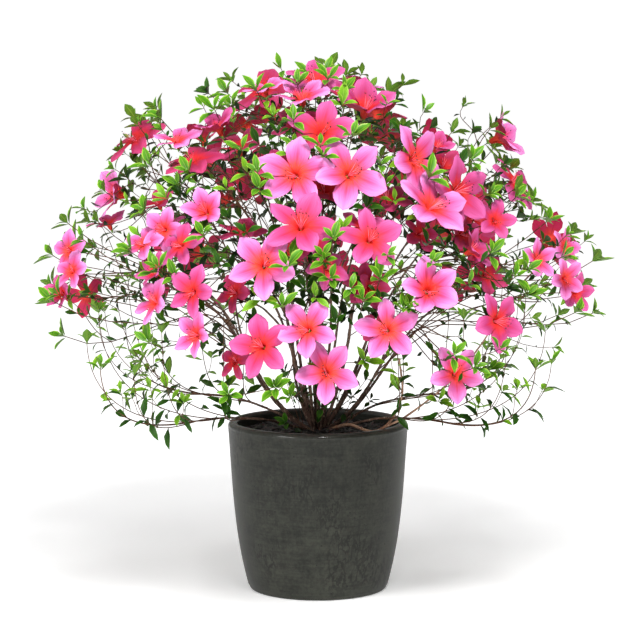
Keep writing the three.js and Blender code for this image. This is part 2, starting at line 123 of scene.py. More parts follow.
def depth_of(point):
    out = point - HEART
    tall = CROWN["up"] if out[2] > 0 else CROWN["down"]
    return math.hypot(out[0] / CROWN["side"], out[1] / CROWN["side"], out[2] / tall)


def at_depth(point, depth):
    return HEART + (point - HEART) * depth / depth_of(point)


def direction(points):
    return (points - HEART) / REACH


# %% Paths
def curve(controls, steps):
    """Points of a cubic curve with four control points."""
    t = np.linspace(0, 1, steps + 1)[:, None]
    a, b, c, d = controls
    return (1 - t) ** 3 * a + 3 * (1 - t) ** 2 * t * b + 3 * (1 - t) * t**2 * c + t**3 * d


def bent(start, start_way, end, end_way, steps, slack=0.38):
    """A path that leaves one point along a way and comes to another along its own way."""
    reach = slack * np.linalg.norm(end - start)
    return curve([start, start + start_way * reach, end - end_way * reach, end], steps)


def on_path(path, t):
    """A point of a path and the way it runs there, t going from 0 at its foot to 1."""
    place = min(t * (len(path) - 1), len(path) - 1.001)
    i = int(place)
    step = path[i + 1] - path[i]
    return path[i] + step * (place - i), unit(step)


# %% [markdown]
# ## The plan of the crown
# The crown is parted into cells, one for each mass of foliage. The front ones are listed
# one by one; the back, which nobody has looked at, is filled in even rows; four low shoots
# trail out over the rim of the pot. Keeping the plan as one short table makes it easy to
# move a mass and see everything that grows on it follow.

# %% The masses
FRONT = [  # name, azimuth, elevation, turn, blooms, bloom width, rises from the root crown
    ("top_front", -104, 68, 30, 3, 58, True),
    ("crown_front", -89, 40, 0, 3, 76, True),
    ("upper_left", -130, 44, 40, 3, 62, True),
    ("upper_right", -59, 34, 90, 3, 74, True),
    ("mid_front", -94, 15, 10, 3, 68, False),
    ("mid_left", -122, 20, 40, 3, 54, False),
    ("mid_right", -38, 17, 150, 2, 56, False),
    ("low_front", -93, -11, 25, 3, 70, False),
    ("low_front_right", -74, 3, 75, 3, 66, False),
    ("low_left", -118, 1, 30, 3, 58, False),
    ("low_right", -54, -14, 25, 2, 64, False),
    ("far_left", -164, 6, 80, 3, 52, True),
    ("far_right", -16, 6, 20, 3, 52, True),
]
TRAILS = [-142, -38, 38, 142]


def spread(count, low, high, index):
    return low + (high - low) * index / (count - 1)


rows = FRONT + [("top_back", 84, 66, 0, 3, 58, True)]
rows += [(f"back_upper_{i + 1}", spread(4, 10, 170, i), 37, 50 * i, 3, 64, i % 2 == 0) for i in range(4)]
rows += [(f"back_lower_{i + 1}", spread(5, 18, 162, i), 3, 50 * i, 3, 60, False) for i in range(5)]
rows += [(f"trail_{i + 1}", azimuth, -26, 0, 0, 0, True) for i, azimuth in enumerate(TRAILS)]
LOW = 10  # masses under this elevation are low
SIDEWAYS = 0.8  # masses whose way leans further than this to one side are at the side
masses = []
for i, (name, azimuth, elevation, turn, blooms, bloom, rooted) in enumerate(rows):
    centre = crown_point(azimuth, elevation, 1)
    way = unit(direction(centre))
    masses.append({
        "name": name, "seed": i + 1, "azimuth": azimuth, "elevation": elevation, "turn": turn,
        "blooms": blooms, "bloom": bloom, "rooted": rooted, "trail": name.startswith("trail"),
        "low": elevation < LOW, "at_side": abs(way[0]) > SIDEWAYS,
        "centre": centre, "way": way, "out": unit(centre - HEART),
    })
print(len(masses), "masses, of which", sum(m["rooted"] for m in masses), "have a limb from the root crown")

# %% The limbs
LIMB = {"foot_steep": 4.2, "foot_flat": 3.4, "tip": 1.9, "lean_steep": 13, "lean_flat": 60, "steps": 7,
        "ring": 14, "depth": 0.5, "fork_first": 0.37, "fork_next": 0.13, "fork_taper": 0.74, "fork_steps": 6}
TRAIL = {"foot": 2.9, "lean_foot": 74, "reach": 200, "height": 243, "lean_end": 94}
STEEP, FLAT = 68, 4  # elevations of the steepest mass and of a flat one
SOIL_TOP = 210
limbs = {}


def by_steepness(mass, steep, flat):
    return steep + (flat - steep) * (STEEP - mass["elevation"]) / (STEEP - FLAT)


def leaning(azimuth, lean):
    a, b = math.radians(azimuth), math.radians(lean)
    return vec(math.sin(b) * math.cos(a), math.sin(b) * math.sin(a), math.cos(b))


def limb_end(mass):
    if mass["trail"]:
        point = leaning(mass["azimuth"], 90) * TRAIL["reach"]
        point[2] = TRAIL["height"]
        return point, leaning(mass["azimuth"], TRAIL["lean_end"])
    point = crown_point(mass["azimuth"], mass["elevation"], LIMB["depth"])
    return point, unit(unit(at_depth(point, 1) - HEART) + UP * 0.25)


def radius_at(limb, t):
    return LIMB["tip"] + (limb["foot"] - LIMB["tip"]) * (1 - t) ** 0.8


# %% Setting the limbs out
def add_limb(mass, start, way, foot, steps, parent=None, fork=0.0):
    end, end_way = limb_end(mass)
    limbs[mass["name"]] = {
        "mass": mass, "start": start, "way": way, "end": end, "end_way": end_way, "foot": foot,
        "path": bent(start, way, end, end_way, steps), "parent": parent, "fork": fork, "forks": 0}


for mass in (m for m in masses if m["rooted"]):
    draw = draws_of("limbs", mass)
    lean, foot = TRAIL["lean_foot"], TRAIL["foot"]
    if not mass["trail"]:
        lean = by_steepness(mass, LIMB["lean_steep"], LIMB["lean_flat"])
        foot = by_steepness(mass, LIMB["foot_steep"], LIMB["foot_flat"])
    way = leaning(mass["azimuth"] + 8 * (draw() - 0.5), lean)
    start = vec(way[0] * LIMB["ring"], way[1] * LIMB["ring"], SOIL_TOP + 3)
    add_limb(mass, start, way, foot, LIMB["steps"])

upright = [limb for limb in limbs.values() if not limb["mass"]["trail"]]
for mass in sorted((m for m in masses if not m["rooted"]), key=lambda m: m["elevation"]):
    parent = max(upright, key=lambda limb: limb["mass"]["way"] @ mass["way"])
    fork = LIMB["fork_first"] + LIMB["fork_next"] * parent["forks"]
    parent["forks"] += 1
    start, start_way = on_path(parent["path"], fork)
    away = unit(limb_end(mass)[0] - start)
    way = unit(away + (start_way - away) * 0.3)
    add_limb(mass, start, way, LIMB["fork_taper"] * radius_at(parent, fork), LIMB["fork_steps"], parent, fork)
feet = [2 * limb["foot"] for limb in limbs.values()]
print(len(limbs), "limbs, feet", round(min(feet), 1), "to", round(max(feet), 1), "mm thick")

# %% [markdown]
# ## Where the blooms and leaf whorls sit
# Each mass sets out its blooms in a ring and its leaf whorls on a spiral like a
# sunflower's, which spreads any number of spots evenly. A spot that would leave the cell,
# run into another or touch a limb is drawn in towards the middle until it fits. The
# blooms and whorls of the solids come out at the same spots, because the draws are the
# same.

# %% The tests that a head has to pass
CLEARANCE = 0.3  # mm from a head to a limb
CELL_EDGE = 0.0035  # how far inside its cell a head stays, as a share of the dome's reach
DRAW_IN = 0.86  # what a spot's distance shrinks by, time and again, until it fits
ways = np.array([m["way"] for m in masses])
spots_along = [(limb, i / 40) for limb in limbs.values() for i in range(41)]
limb_spots = np.array([on_path(limb["path"], t)[0] for limb, t in spots_along])
limb_rooms = np.array([radius_at(limb, t) + CLEARANCE for limb, t in spots_along])


def in_cell(mass, points):
    """Whether every point lies nearer this mass's way than any other's."""
    apart = np.delete(mass["way"] - ways, mass["seed"] - 1, axis=0)
    apart /= np.linalg.norm(apart, axis=1)[:, None]
    return bool((direction(np.atleast_2d(points)) @ apart.T > CELL_EDGE).all())


def clear_of_limbs(point, radius):
    return bool((np.linalg.norm(limb_spots - point, axis=1) > radius + limb_rooms).all())


# %% Where a head sits and looks
def facing(point, lift):
    """A bloom looks outward, and up by a lift on top of what its height gives it."""
    out = unit(vec(point[0], point[1], 0))
    return unit(out + UP * (0.55 * (point[2] - CROWN["heart"]) / CROWN["up"] + lift))


def beside(mass, angle, distance, depth):
    """A spot beside a mass's middle, its angle clockwise from up as seen from outside."""
    a, out = math.radians(angle), mass["out"]
    right = unit(vec(-out[1], out[0], 0))
    rise = unit(np.cross(out, right))
    spot = at_depth(mass["centre"], depth) + distance * (math.sin(a) * right + math.cos(a) * rise)
    return at_depth(spot, depth)


def disc_edge(middle, way, radius):
    side = unit(np.cross(UP, way))
    other = np.cross(way, side)
    a = np.arange(8)[:, None] * math.pi / 4
    return middle + radius * (np.cos(a) * side + np.sin(a) * other)


def settle(mass, heads, head):
    """Draws a head in towards the middle of its mass until it fits, and adds it if it does."""
    far = head["distance"]
    while far > 0.15 * head["distance"]:
        at = beside(mass, head["angle"], far, head["depth"])
        way = facing(at, head["lift"])
        middle = at + way * head["height"]
        apart = all(np.linalg.norm(h["middle"] - middle) > h["room"] + head["room"] for h in heads)
        edge = np.vstack([disc_edge(middle, way, head["radius"]), at])
        if apart and in_cell(mass, edge) and clear_of_limbs(middle, head["radius"]):
            heads.append({**head, "at": at, "way": way, "middle": middle})
            return True
        far *= DRAW_IN
    return False


# %% Planning the heads
def bloom_head(size, angle, lift, roll, depth):
    return {"kind": "bloom", "size": size, "angle": angle, "lift": lift, "roll": roll, "depth": depth,
            "distance": 0.66 * size, "height": 0.36 * size, "radius": 0.5 * size, "room": 0.45 * size}


def plan_heads(mass):
    draw, heads = draws_of("heads", mass), []
    for k in range(mass["blooms"]):
        size = mass["bloom"] * (0.92 + 0.16 * draw())
        angle = mass["turn"] + 360 * k / mass["blooms"] + 14 * (draw() - 0.5)
        lift = 0.2 * (draw() - 0.35)
        settle(mass, heads, bloom_head(size, angle, lift, 2 * math.pi * draw(), 0.87))
    for k in range(5):
        size = 28 * (0.85 + 0.3 * draw())
        angle = mass["turn"] + 60 + GOLDEN * k + 20 * (draw() - 0.5)
        depth = 0.97 - 0.07 * draw()
        draw(), draw()  # how a whorl of the solids opens and turns
        settle(mass, heads, {
            "kind": "whorl", "size": size, "angle": angle, "depth": depth, "lift": 0.7,
            "distance": 96 * math.sqrt((k + 1.2) / 5),
            "height": 0.5 * size, "radius": 0.8 * size, "room": 0.32 * size})
    return heads


for mass in masses:
    mass["heads"] = [] if mass["trail"] else plan_heads(mass)
kinds = [h["kind"] for m in masses for h in m["heads"]]
print(kinds.count("bloom"), "blooms and", kinds.count("whorl"), "whorls as in the solids")

# %% [markdown]
# ## Smooth limbs and the twigs that grow on from them
# The solids need few corners, but wood that's seen up close has to bend smoothly, so the
# same curves are drawn again with many more points. A slight wander keeps them from
# looking ruled. Twigs start on these smooth paths, so none hangs in the air.

# %% Wood and its wander
wood = {"boughs": [], "twigs": [], "tan": []}  # each is a path with its radius at every point
FLARE_FADE = 14  # how fast the flare at a limb's foot dies out above it


def add_wood(kind, path, foot, tip):
    """Keeps a path as wood that tapers evenly from its foot to its tip."""
    wood[kind].append((path, np.linspace(foot, tip, len(path))))
    return path


def wandering(path, draw, amount):
    """The path with a slow sideways wander that dies out at both ends."""
    t = np.linspace(0, 1, len(path))
    for _ in range(2):
        side = unit(vec(draw() - 0.5, draw() - 0.5, draw() - 0.5))
        wave = np.sin(t * (5 + 6 * draw()) + 6 * draw()) * np.sin(math.pi * t)
        path = path + amount * wave[:, None] * side
    return path


# %% Smooth limbs, and a stem for each mass
def smooth_limb(limb):
    if "smooth" in limb:
        return limb["smooth"]
    start = limb["start"]
    if limb["parent"]:
        start, _ = on_path(smooth_limb(limb["parent"]), limb["fork"])
    path = bent(start, limb["way"], limb["end"], limb["end_way"], 30)
    limb["smooth"] = wandering(path, draws_of("wander", limb["mass"]), 1.6)
    t = np.linspace(0, 1, len(path))
    flare = 1 + 0.2 * np.exp(-t * FLARE_FADE)
    wood["boughs"].append((limb["smooth"], (0.66 - 0.14 * t) * radius_at(limb, t) * flare))
    return limb["smooth"]


def sagging(start, way, azimuth, elevation, steps, reach=0.96):
    """A shoot that runs out low beside the pot and turns up to its tip."""
    tip = crown_point(azimuth, elevation, reach)
    turn = vec(tip[0] * 0.99, tip[1] * 0.99, start[2] - 4 + 0.06 * (tip[2] - start[2]))
    return curve([start, start + way * 60, turn, tip], steps)


for mass in masses:
    limb = limbs[mass["name"]]
    smooth_limb(limb)
    azimuth, elevation = mass["azimuth"], mass["elevation"]
    if mass["trail"]:
        stem = sagging(limb["end"], limb["end_way"], azimuth, -21, 24)
        mass["stem"] = add_wood("twigs", stem, 1.3, 0.6)
    else:
        stem = bent(limb["end"], limb["end_way"], crown_point(azimuth, elevation, 0.76), mass["out"], 12)
        mass["stem"] = add_wood("boughs", stem, 0.52 * LIMB["tip"], 0.75)
    mass["carriers"] = [stem[2:]]
    if mass["rooted"] and not mass["trail"]:
        mass["carriers"].append(limb["smooth"][9:])

# %% Slimmer stems beside the limbs
for mass in (m for m in masses if m["rooted"] and not m["trail"]):
    draw = draws_of("slim stems", mass)
    turn = 16 if mass["seed"] % 2 else -16
    way = leaning(mass["azimuth"] + turn, by_steepness(mass, 20, 58))
    start = vec(way[0] * 17, way[1] * 17, SOIL_TOP + 2)
    angle = mass["turn"] + 150 + 80 * draw()
    end, tip = beside(mass, angle, 30, 0.52), beside(mass, angle, 44, 0.8)
    path = wandering(bent(start, way, end, unit(end - HEART + 60 * UP), 26), draw, 3.0)
    add_wood("boughs", path, 2.1, 1.1)
    path = add_wood("boughs", bent(end, unit(path[-1] - path[-2]), tip, mass["out"], 8), 1.1, 0.65)
    mass["carriers"].append(path[2:])
print(len(wood["boughs"]), "smooth limbs and stems")

# %% [markdown]
# ## Leaves and blooms as lists of places
# A leaf is worked out as a place, a way that it points, the way that its upper face looks
# and a length. Nothing is drawn yet: the lists are handed to a scatter tree later, which
# is far quicker than making thousands of objects. Each spray of leaves gets one tint by
# where it grows, bright at the surface and dark inside: partly the real lighter new growth
# and older leaves, and partly painted shade for the inside of the crown.

# %% Sprays of leaves
leaves = {"bright": [], "fresh": [], "mid": [], "dark": [], "slender": []}
buds = []
GOLDEN_ROLL = 2.4  # the golden angle again, in radians


def frame_of(way, roll=0.0):
    """Two directions across a way, turned round it by a roll."""
    helper = vec(1, 0, 0) if abs(way[2]) > 0.8 else UP
    side = unit(np.cross(helper, way))
    other = np.cross(way, side)
    return (math.cos(roll) * side + math.sin(roll) * other,
            math.cos(roll) * other - math.sin(roll) * side)


def add_leaf(tint, at, way, out, opened, length):
    """A leaf that leans from a shoot's way by an angle, its face to the shoot's tip."""
    points = math.cos(opened) * way + math.sin(opened) * out
    face = math.sin(opened) * way - math.cos(opened) * out + 0.35 * UP
    face = unit(face - (face @ points) * points)
    leaves[tint].append((at, face, points, length))


# %% Rosettes, and leaves along a twig
def rosette(tint, path, way, count, length, opened, draw):
    """The leaves round a shoot's tip: the outer ones longer and more open."""
    roll = 2 * math.pi * draw()
    for k in range(count):
        out, _ = frame_of(way, roll + GOLDEN_ROLL * k + 0.5 * (draw() - 0.5))
        inner = k / max(count - 1, 1)
        lean = math.radians(opened - 26 * inner + 22 * (draw() - 0.5))
        add_leaf(tint, path[-1] - way * 3.5 * (1 - inner), way, out, lean,
                 length * (1.08 - 0.36 * inner) * (0.9 + 0.2 * draw()))


def alternate(tint, path, start, end, gap, length, opened, draw):
    """Single leaves that climb a twig one by one, turning by the golden angle."""
    along = float(np.linalg.norm(np.diff(path, axis=0), axis=1).sum())
    count = int(along * (end - start) / gap)
    roll = 2 * math.pi * draw()
    for k in range(count):
        at, way = on_path(path, start + (end - start) * (k + 0.6 * draw()) / max(count, 1))
        out, _ = frame_of(way, roll + GOLDEN_ROLL * k)
        lean = math.radians(opened + 26 * (draw() - 0.5))
        add_leaf(tint, at, way, out, lean, length * (0.7 + 0.5 * draw()))


def shade_tint_at(depth, draw):
    """The tint of a spray by how deep in the crown it grows; the darker tints deeper in are partly real older
    leaves and partly painted shade.
    """
    shade = depth + 0.12 * (draw() - 0.5)
    if shade > 0.9:
        return "bright"
    if shade > 0.8:
        return "fresh" if draw() < 0.5 else "mid"
    return "mid" if shade > 0.66 else "dark"


# %% Planned blooms
blooms = []
TWIG_STEPS = 7
AT_SURFACE = 0.86  # the depth past which a bloom stands at the surface
SHOULDER = {"elevation": 26, "width": 11, "pull": 0.125}


def drawn_in(point):
    """A point pulled in a little at the two shoulders, which are flatter than the round masses."""
    out = point - HEART
    level = math.hypot(out[0], out[1])
    elevation = math.degrees(math.atan2(out[2], level))
    nearness = math.exp(-(((elevation - SHOULDER["elevation"]) / SHOULDER["width"]) ** 2))
    pull = SHOULDER["pull"] * nearness * abs(out[0]) / max(level, 1)
    return HEART + out * (1 - pull)


HIGH = {"outer": 628, "inner": 520}  # heights from which blooms turn up
LEFT_FROM, LEFT_DROP = -60, 75  # left of this they do so from lower down


def looking(mass, head, draw):
    """The way that a bloom looks: high ones turn up and the others about."""
    outer, way = head["depth"] > AT_SURFACE, head["way"]
    high_from = HIGH["outer" if outer else "inner"] - (LEFT_DROP if head["at"][0] < LEFT_FROM else 0)
    upward = 0.1 if outer and mass["elevation"] > 30 else 0.35
    upward = 2.4 if head["at"][2] > high_from else upward + 0.4 * draw()
    stray = 0.45 if abs(way[0]) <= 0.35 else 0.75
    if head["depth"] < AT_SURFACE:
        stray = 1.1
    side, other = frame_of(way)
    sway = stray * ((draw() - 0.5) * side + (draw() - 0.5) * other)
    look = way + upward * UP * (0.4 if mass["low"] else 0.7) + sway
    if abs(way[0]) > 0.72:  # those at the sides turn to the front or the back
        look = look + vec(0, -0.75 if way[1] < 0.25 else 0.75, 0)
    return unit(look)


def add_bloom(mass, head, path, draw):
    """A bloom at the end of its twig, and the leaves round its foot."""
    look = looking(mass, head, draw)
    blooms.append({**head, "look": look})
    tint = shade_tint_at(head["depth"] - 0.05, draw)
    rosette(tint, path, look, 3 + int(2.99 * draw()), 0.24 * head["size"] + 9, 84, draw)


def foot_wood(mass):
    """The wood that a mass's main twigs start from. At the sides it is low on the limb."""
    smooth = limbs[mass["name"]]["smooth"]
    if mass["at_side"] and mass["low"]:
        return smooth[7:25]
    return np.vstack([smooth[19:-1], mass["stem"]])


# %% Twigs to the planned heads
for mass in masses:
    draw = draws_of("twigs", mass)
    for k, head in enumerate(mass["heads"]):
        head["at"] = drawn_in(head["at"])
        behind = abs(head["at"][0]) > 225 and head["way"][1] > -0.15
        if head["kind"] == "bloom" and behind and k % 2:
            head["kind"], head["size"] = "whorl", 26
        start, start_way = on_path(foot_wood(mass), min(0.16 + 0.1 * k, 0.97))
        way = unit(unit(head["at"] - start) + start_way)
        path = add_wood("twigs", bent(start, way, head["at"], head["way"], TWIG_STEPS), 0.85, 0.6)
        mass["carriers"].append(path[1:])
        if head["kind"] == "bloom":
            add_bloom(mass, head, path, draw)
            alternate("dark", path, 0.5, 0.92, 17, 16, 58, draw)
        else:
            rosette("bright", path, head["way"], 5, head["size"], 58, draw)
            buds.append((head["at"], head["way"], 7 + 3 * draw()))
            alternate("mid", path, 0.5, 0.92, 18, 17, 56, draw)
print(len(blooms), "blooms so far")


def hides_a_bloom(tip):
    """True where a shoot's tip would stand just in front of a bloom."""
    for head in blooms:
        off = tip - head["at"]
        ahead = float(off @ head["look"])
        if 4 < ahead < 70 and np.linalg.norm(off - ahead * head["look"]) < 0.5 * head["size"]:
            return True
    return False


# %% [markdown]
# ## Finer growth
# Between the main twigs of a real azalea stand hundreds of short shoots, each with a few
# single leaves and a rosette at its tip, and smaller blooms set further in. They follow
# the same spiral as the whorls. Every shoot branches from the nearest wood that lies
# deeper in the crown, and becomes a carrier for the next ones, so the twigs fork again
# and again instead of all fanning from one point.

# %% Growing from the nearest wood
SHOOT_LENGTH = 72
SIDE_RISE = 55  # how much further up the shoots at the sides slant


def nearest_carrier(mass, tip, draw):
    """The start of a new shoot: a spot on the mass's wood, deeper in and not too far off."""
    best, found = 1e9, None
    tip_depth = depth_of(tip)
    rise = SIDE_RISE if mass["at_side"] and mass["elevation"] < 30 else 0
    for path in mass["carriers"]:
        for i in range(0, len(path) - 1, 2):
            cost = abs(np.linalg.norm(tip - path[i]) - SHOOT_LENGTH - rise)
            cost += 0.9 * max(0, rise - tip[2] + path[i][2]) * (rise > 0)
            cost += 260 * max(0, depth_of(path[i]) - tip_depth + 0.08) + 22 * draw()
            if cost < best:
                best, found = cost, (path[i], unit(path[i + 1] - path[i]))
    return found


def grow_to(mass, tip, way, draw, foot=0.68, end=0.42):
    start, start_way = nearest_carrier(mass, tip, draw)
    first = unit(unit(tip - start) + 0.4 * start_way)
    path = add_wood("twigs", bent(start, first, tip, way, TWIG_STEPS), foot, end)
    mass["carriers"].append(path[2:])
    return path


# %% Smaller blooms set further in
GAPS = {  # blooms that close gaps between two masses: angle, distance, width, depth
    "low_front_right": [(339, 80, 62, 0.87)],
    "mid_front": [(60, 88, 54, 0.76), (110, 84, 50, 0.72)],
    "mid_left": [(250, 58, 50, 0.87)],
    "low_left": [(305, 66, 50, 0.83), (163, 84, 44, 0.72)],
    "back_upper_4": [(184, 92, 54, 0.8)],
}


def inner_blooms(mass):
    """How many smaller blooms a mass tries: more the higher it is, and none low down behind."""
    for elevation, count in ((61, 8), (31, 5), (10, 4)):
        if mass["elevation"] >= elevation:
            return count
    return 3 if mass["elevation"] > 0 and mass["way"][1] < -0.6 else 0


def grow_bloom(mass, head, draw):
    path = grow_to(mass, head["at"], head["way"], draw, 0.75, 0.55)
    add_bloom(mass, head, path, draw)
    alternate("dark", path, 0.35, 0.9, 17, 15, 58, draw)


def add_inner_blooms(mass, draw):
    least = 46 if mass["elevation"] < 40 else 58
    for k in range(inner_blooms(mass)):
        size = least + 16 * draw()
        angle = mass["turn"] + 100 + GOLDEN * k + 30 * draw()
        head = bloom_head(size, angle, 0.5 * (draw() - 0.4), ROUND * draw(), 0.66 + 0.17 * draw())
        head["distance"] = (62 if k % 2 else 104) + 40 * (k > 3)
        if settle(mass, mass["heads"], head):
            head = mass["heads"][-1]
            head["at"] = drawn_in(head["at"])
            grow_bloom(mass, head, draw)
    for angle, distance, size, depth in GAPS.get(mass["name"], []):
        head = bloom_head(size, angle, 0, ROUND * draw(), depth)
        head["at"] = drawn_in(beside(mass, angle, distance, depth))
        head["way"] = facing(head["at"], 0)
        grow_bloom(mass, head, draw)


# %% Short leafy shoots
SHOOTS = {"crown": 16, "behind": 21, "low": 6}
DENSER = {"mid_front": 1.4, "low_front_right": 1.4, "upper_left": 0.75, "mid_right": 0.75, "low_right": 0.75}
SPREAD = 140


def shoots_of(mass):
    """How many shoots a mass has and how far they spread. The far sides are thin."""
    place = "low" if mass["low"] else "behind" if mass["way"][1] > -0.1 else "crown"
    count = SHOOTS[place]
    if mass["at_side"]:
        count = int((0.65 if mass["way"][0] < 0 else 0.5) * count)
    count = int(DENSER.get(mass["name"], 1) * count)
    if mass["elevation"] > 60:  # the two on top also close the gap between them
        return int(1.1 * count), 1.3 * SPREAD
    return count, SPREAD


def free_tip(mass, angle, distance, depth):
    """The tip of a shoot, drawn in until it lies in its cell and hides no bloom, if it can."""
    while distance > 6:
        tip = beside(mass, angle, distance, depth)
        if in_cell(mass, tip) and not hides_a_bloom(tip):
            return tip
        distance *= DRAW_IN
    return None


# %% Growing it all
def add_shoots(mass, draw):
    count, reach = shoots_of(mass)
    least, more = (17, 8) if mass["low"] else (20, 9)
    bare = 0.55 if mass["elevation"] < 45 else 0.3  # the share of a twig that has no leaves
    for k in range(count):
        angle = mass["turn"] + 20 + GOLDEN * k + 16 * draw()
        depth = 0.965 - 0.4 * draw() ** 1.6
        tip = free_tip(mass, angle, reach * math.sqrt((k + 0.6) / count), depth)
        if tip is None:
            continue
        tip = drawn_in(tip)
        way = facing(tip, 0.25 + 0.6 * draw())
        path = grow_to(mass, tip, way, draw)
        tint = shade_tint_at(depth, draw)
        length = least + more * draw()
        rosette(tint, path, way, 3 + int(2.99 * draw()), length, 54, draw)
        if draw() < 0.5:
            buds.append((tip, way, 5 + 3 * draw()))
        alternate("slender" if draw() < 0.6 else "dark", path, bare, 0.92, 14, 14, 56, draw)


for mass in (m for m in masses if not m["trail"]):
    draw = draws_of("growth", mass)
    add_inner_blooms(mass, draw)
    add_shoots(mass, draw)
print(len(blooms), "blooms,", len(wood["twigs"]), "twigs and", sum(map(len, leaves.values())), "leaves")

# %% [markdown]
# ## Trailing shoots and the growth near the foot
# To either side long thin shoots sag over the rim and turn up again, with single slender
# leaves spaced well apart. A few short leafy shoots also break from the limbs low down.

# %% Trails and low shoots
def through(points, steps):
    """A smooth path through a few points."""
    points = [vec(*p) for p in points]
    ends = [2 * points[0] - points[1], *points, 2 * points[-1] - points[-2]]
    made = []
    for a, b, c, d in zip(ends, ends[1:], ends[2:], ends[3:]):
        made.append(curve([b, b + (c - a) / 6, c - (d - b) / 6, c], steps)[:-1])
    return np.vstack([*made, points[-1]])


def tip_way(path):
    return unit(path[-1] - path[-2])


def add_trail_shoot(path, draw):
    """A short upright shoot from about the middle of a trail."""
    foot, way = on_path(path, 0.45 + 0.25 * draw())
    out, _ = frame_of(way, ROUND * draw())
    end = foot + (way * 0.5 + 0.3 * out + 0.6 * UP) * (22 + 26 * draw())
    side = add_wood("twigs", bent(foot, unit(way + 0.5 * out), end, unit(way + UP), 5), 0.5, 0.38)
    rosette("fresh", side, tip_way(side), 4, 21, 66, draw)


for mass in (m for m in masses if m["trail"]):
    draw = draws_of("trails", mass)
    trails = [mass["stem"]]
    for k in range(6):
        start, way = on_path(limbs[mass["name"]]["smooth"], 0.98 - 0.11 * k)
        azimuth = mass["azimuth"] + (-1) ** k * (5 + 5 * k) + 6 * draw()
        path = sagging(start, unit(way - 0.1 * UP), azimuth, -24 + 4.5 * k + 8 * draw(), 22, 0.96 - 0.06 * k)
        trails.append(wandering(add_wood("twigs", path, 0.85, 0.45), draw, 0))  # draws, but doesn't wander
    for path in trails:
        alternate("slender", path, 0.28, 0.75, 25, 25, 66, draw)
        alternate("fresh" if draw() < 0.6 else "slender", path, 0.5, 0.95, 23, 25, 60, draw)
        rosette("bright", path, tip_way(path), 3 + int(2.99 * draw()), 24, 54, draw)
        add_trail_shoot(path, draw)

# %% Two bare tan branches
# They dip to the rim of the pot on one side, and one of them rises again beyond it.
dipping = through([(13, -9, 213), (40, -36, 225), (70, -62, 220),
                   (92, -70, 232), (110, -66, 268), (106, -76, 318)], 8)
rising = through([dipping[22], (118, -86, 246), (172, -98, 292), (214, -108, 346), (232, -116, 384)], 8)
add_wood("tan", dipping, 2.3, 1.2)
add_wood("tan", rising, 1.5, 0.9)

# %% Low leafy shoots
LOWEST = 228  # shoots over the wall of the pot stay above this height
ABOVE_WALL = 80  # from this far out a shoot is over the wall

for limb in limbs.values():
    draw = draws_of("low shoots", limb["mass"])
    places = (0.07,) if limb["mass"]["elevation"] < 25 else (0.07, 0.42, 0.62, 0.82)
    for t in places[1 if limb["parent"] else 0:]:
        foot, way = on_path(limb["smooth"], t + 0.1 * (draw() - 0.5))
        out, _ = frame_of(way, ROUND * draw())
        end = foot + (way * 0.8 + 0.75 * out + 0.3 * UP) * (26 + 30 * draw())
        if end[2] < LOWEST and math.hypot(end[0], end[1]) > ABOVE_WALL:
            continue
        path = bent(foot, unit(way + 1.2 * out), end, unit(way + out + UP), 6)
        side = add_wood("twigs", path, 0.65, 0.42)
        alternate("dark", side, 0.3, 0.9, 13, 16, 58, draw)
        rosette("mid" if draw() < 0.6 else "dark", side, tip_way(side), 4, 20, 62, draw)
print(len(wood["twigs"]), "twigs and", sum(map(len, leaves.values())), "leaves in all")

# %% [markdown]
# ## Building node trees
# Both the shapes and the finishes below are node trees. One small class adds the nodes: it
# takes a node's type, its settings and the values or wires of its sockets. Another wraps
# an output socket, so that sums on it can be written as plain Python and each operator
# adds its own Math node. Numbers alone are still worked out by Python.

# %% Nodes and wires
class Wire:
    """An output socket that can be used in sums."""

    def __init__(self, nodes, socket):
        self.nodes, self.socket = nodes, socket

    def maths(self, operation, *values):
        return self.nodes.add("ShaderNodeMath", {"operation": operation}, dict(enumerate(values)))

    def __add__(self, other):
        return self.maths("ADD", self, other)

    def __sub__(self, other):
        return self.maths("SUBTRACT", self, other)

    def __rsub__(self, other):
        return self.maths("SUBTRACT", other, self)

    def __mul__(self, other):
        return self.maths("MULTIPLY", self, other)

    def __truediv__(self, other):
        return self.maths("DIVIDE", self, other)

    __radd__, __rmul__ = __add__, __mul__

    def size(self):
        return self.maths("ABSOLUTE", self)

    def between(self, low, high):
        """0 up to low, 1 from high on, and a smooth step between."""
        return self.nodes.add("ShaderNodeMapRange", {"interpolation_type": "SMOOTHSTEP"},
                              {"Value": self, "From Min": low, "From Max": high})


# %% Adding nodes
class Nodes:
    """Adds nodes to one tree."""

    def __init__(self, tree):
        self.tree = tree

    def add(self, kind, settings=None, inputs=None, out=0):
        """A node with its settings, then the values or wires of its sockets. Gives its output."""
        node = self.tree.nodes.new(kind)
        for name, value in (settings or {}).items():
            setattr(node, name, value)
        for name, value in (inputs or {}).items():
            socket = node.inputs[name]
            if isinstance(value, Wire):
                self.tree.links.new(value.socket, socket)
            elif socket.type == "RGBA" and len(value) == 3:
                socket.default_value = (*value, 1)
            else:
                socket.default_value = value
        return Wire(self, node.outputs[out]) if len(node.outputs) else node

    def mix(self, factor, a, b):
        """Colour a where the factor is 0 and colour b where it is 1."""
        return self.add("ShaderNodeMix", {"data_type": "RGBA"}, {0: factor, 6: a, 7: b}, out=2)

    def noise(self, where, scale, detail=3.0, roughness=0.5):
        inputs = {"Vector": where, "Scale": scale, "Detail": detail, "Roughness": roughness}
        return self.add("ShaderNodeTexNoise", None, inputs)

    def scaled(self, vector, by):
        return self.add("ShaderNodeVectorMath", {"operation": "MULTIPLY"}, {0: vector, 1: by})


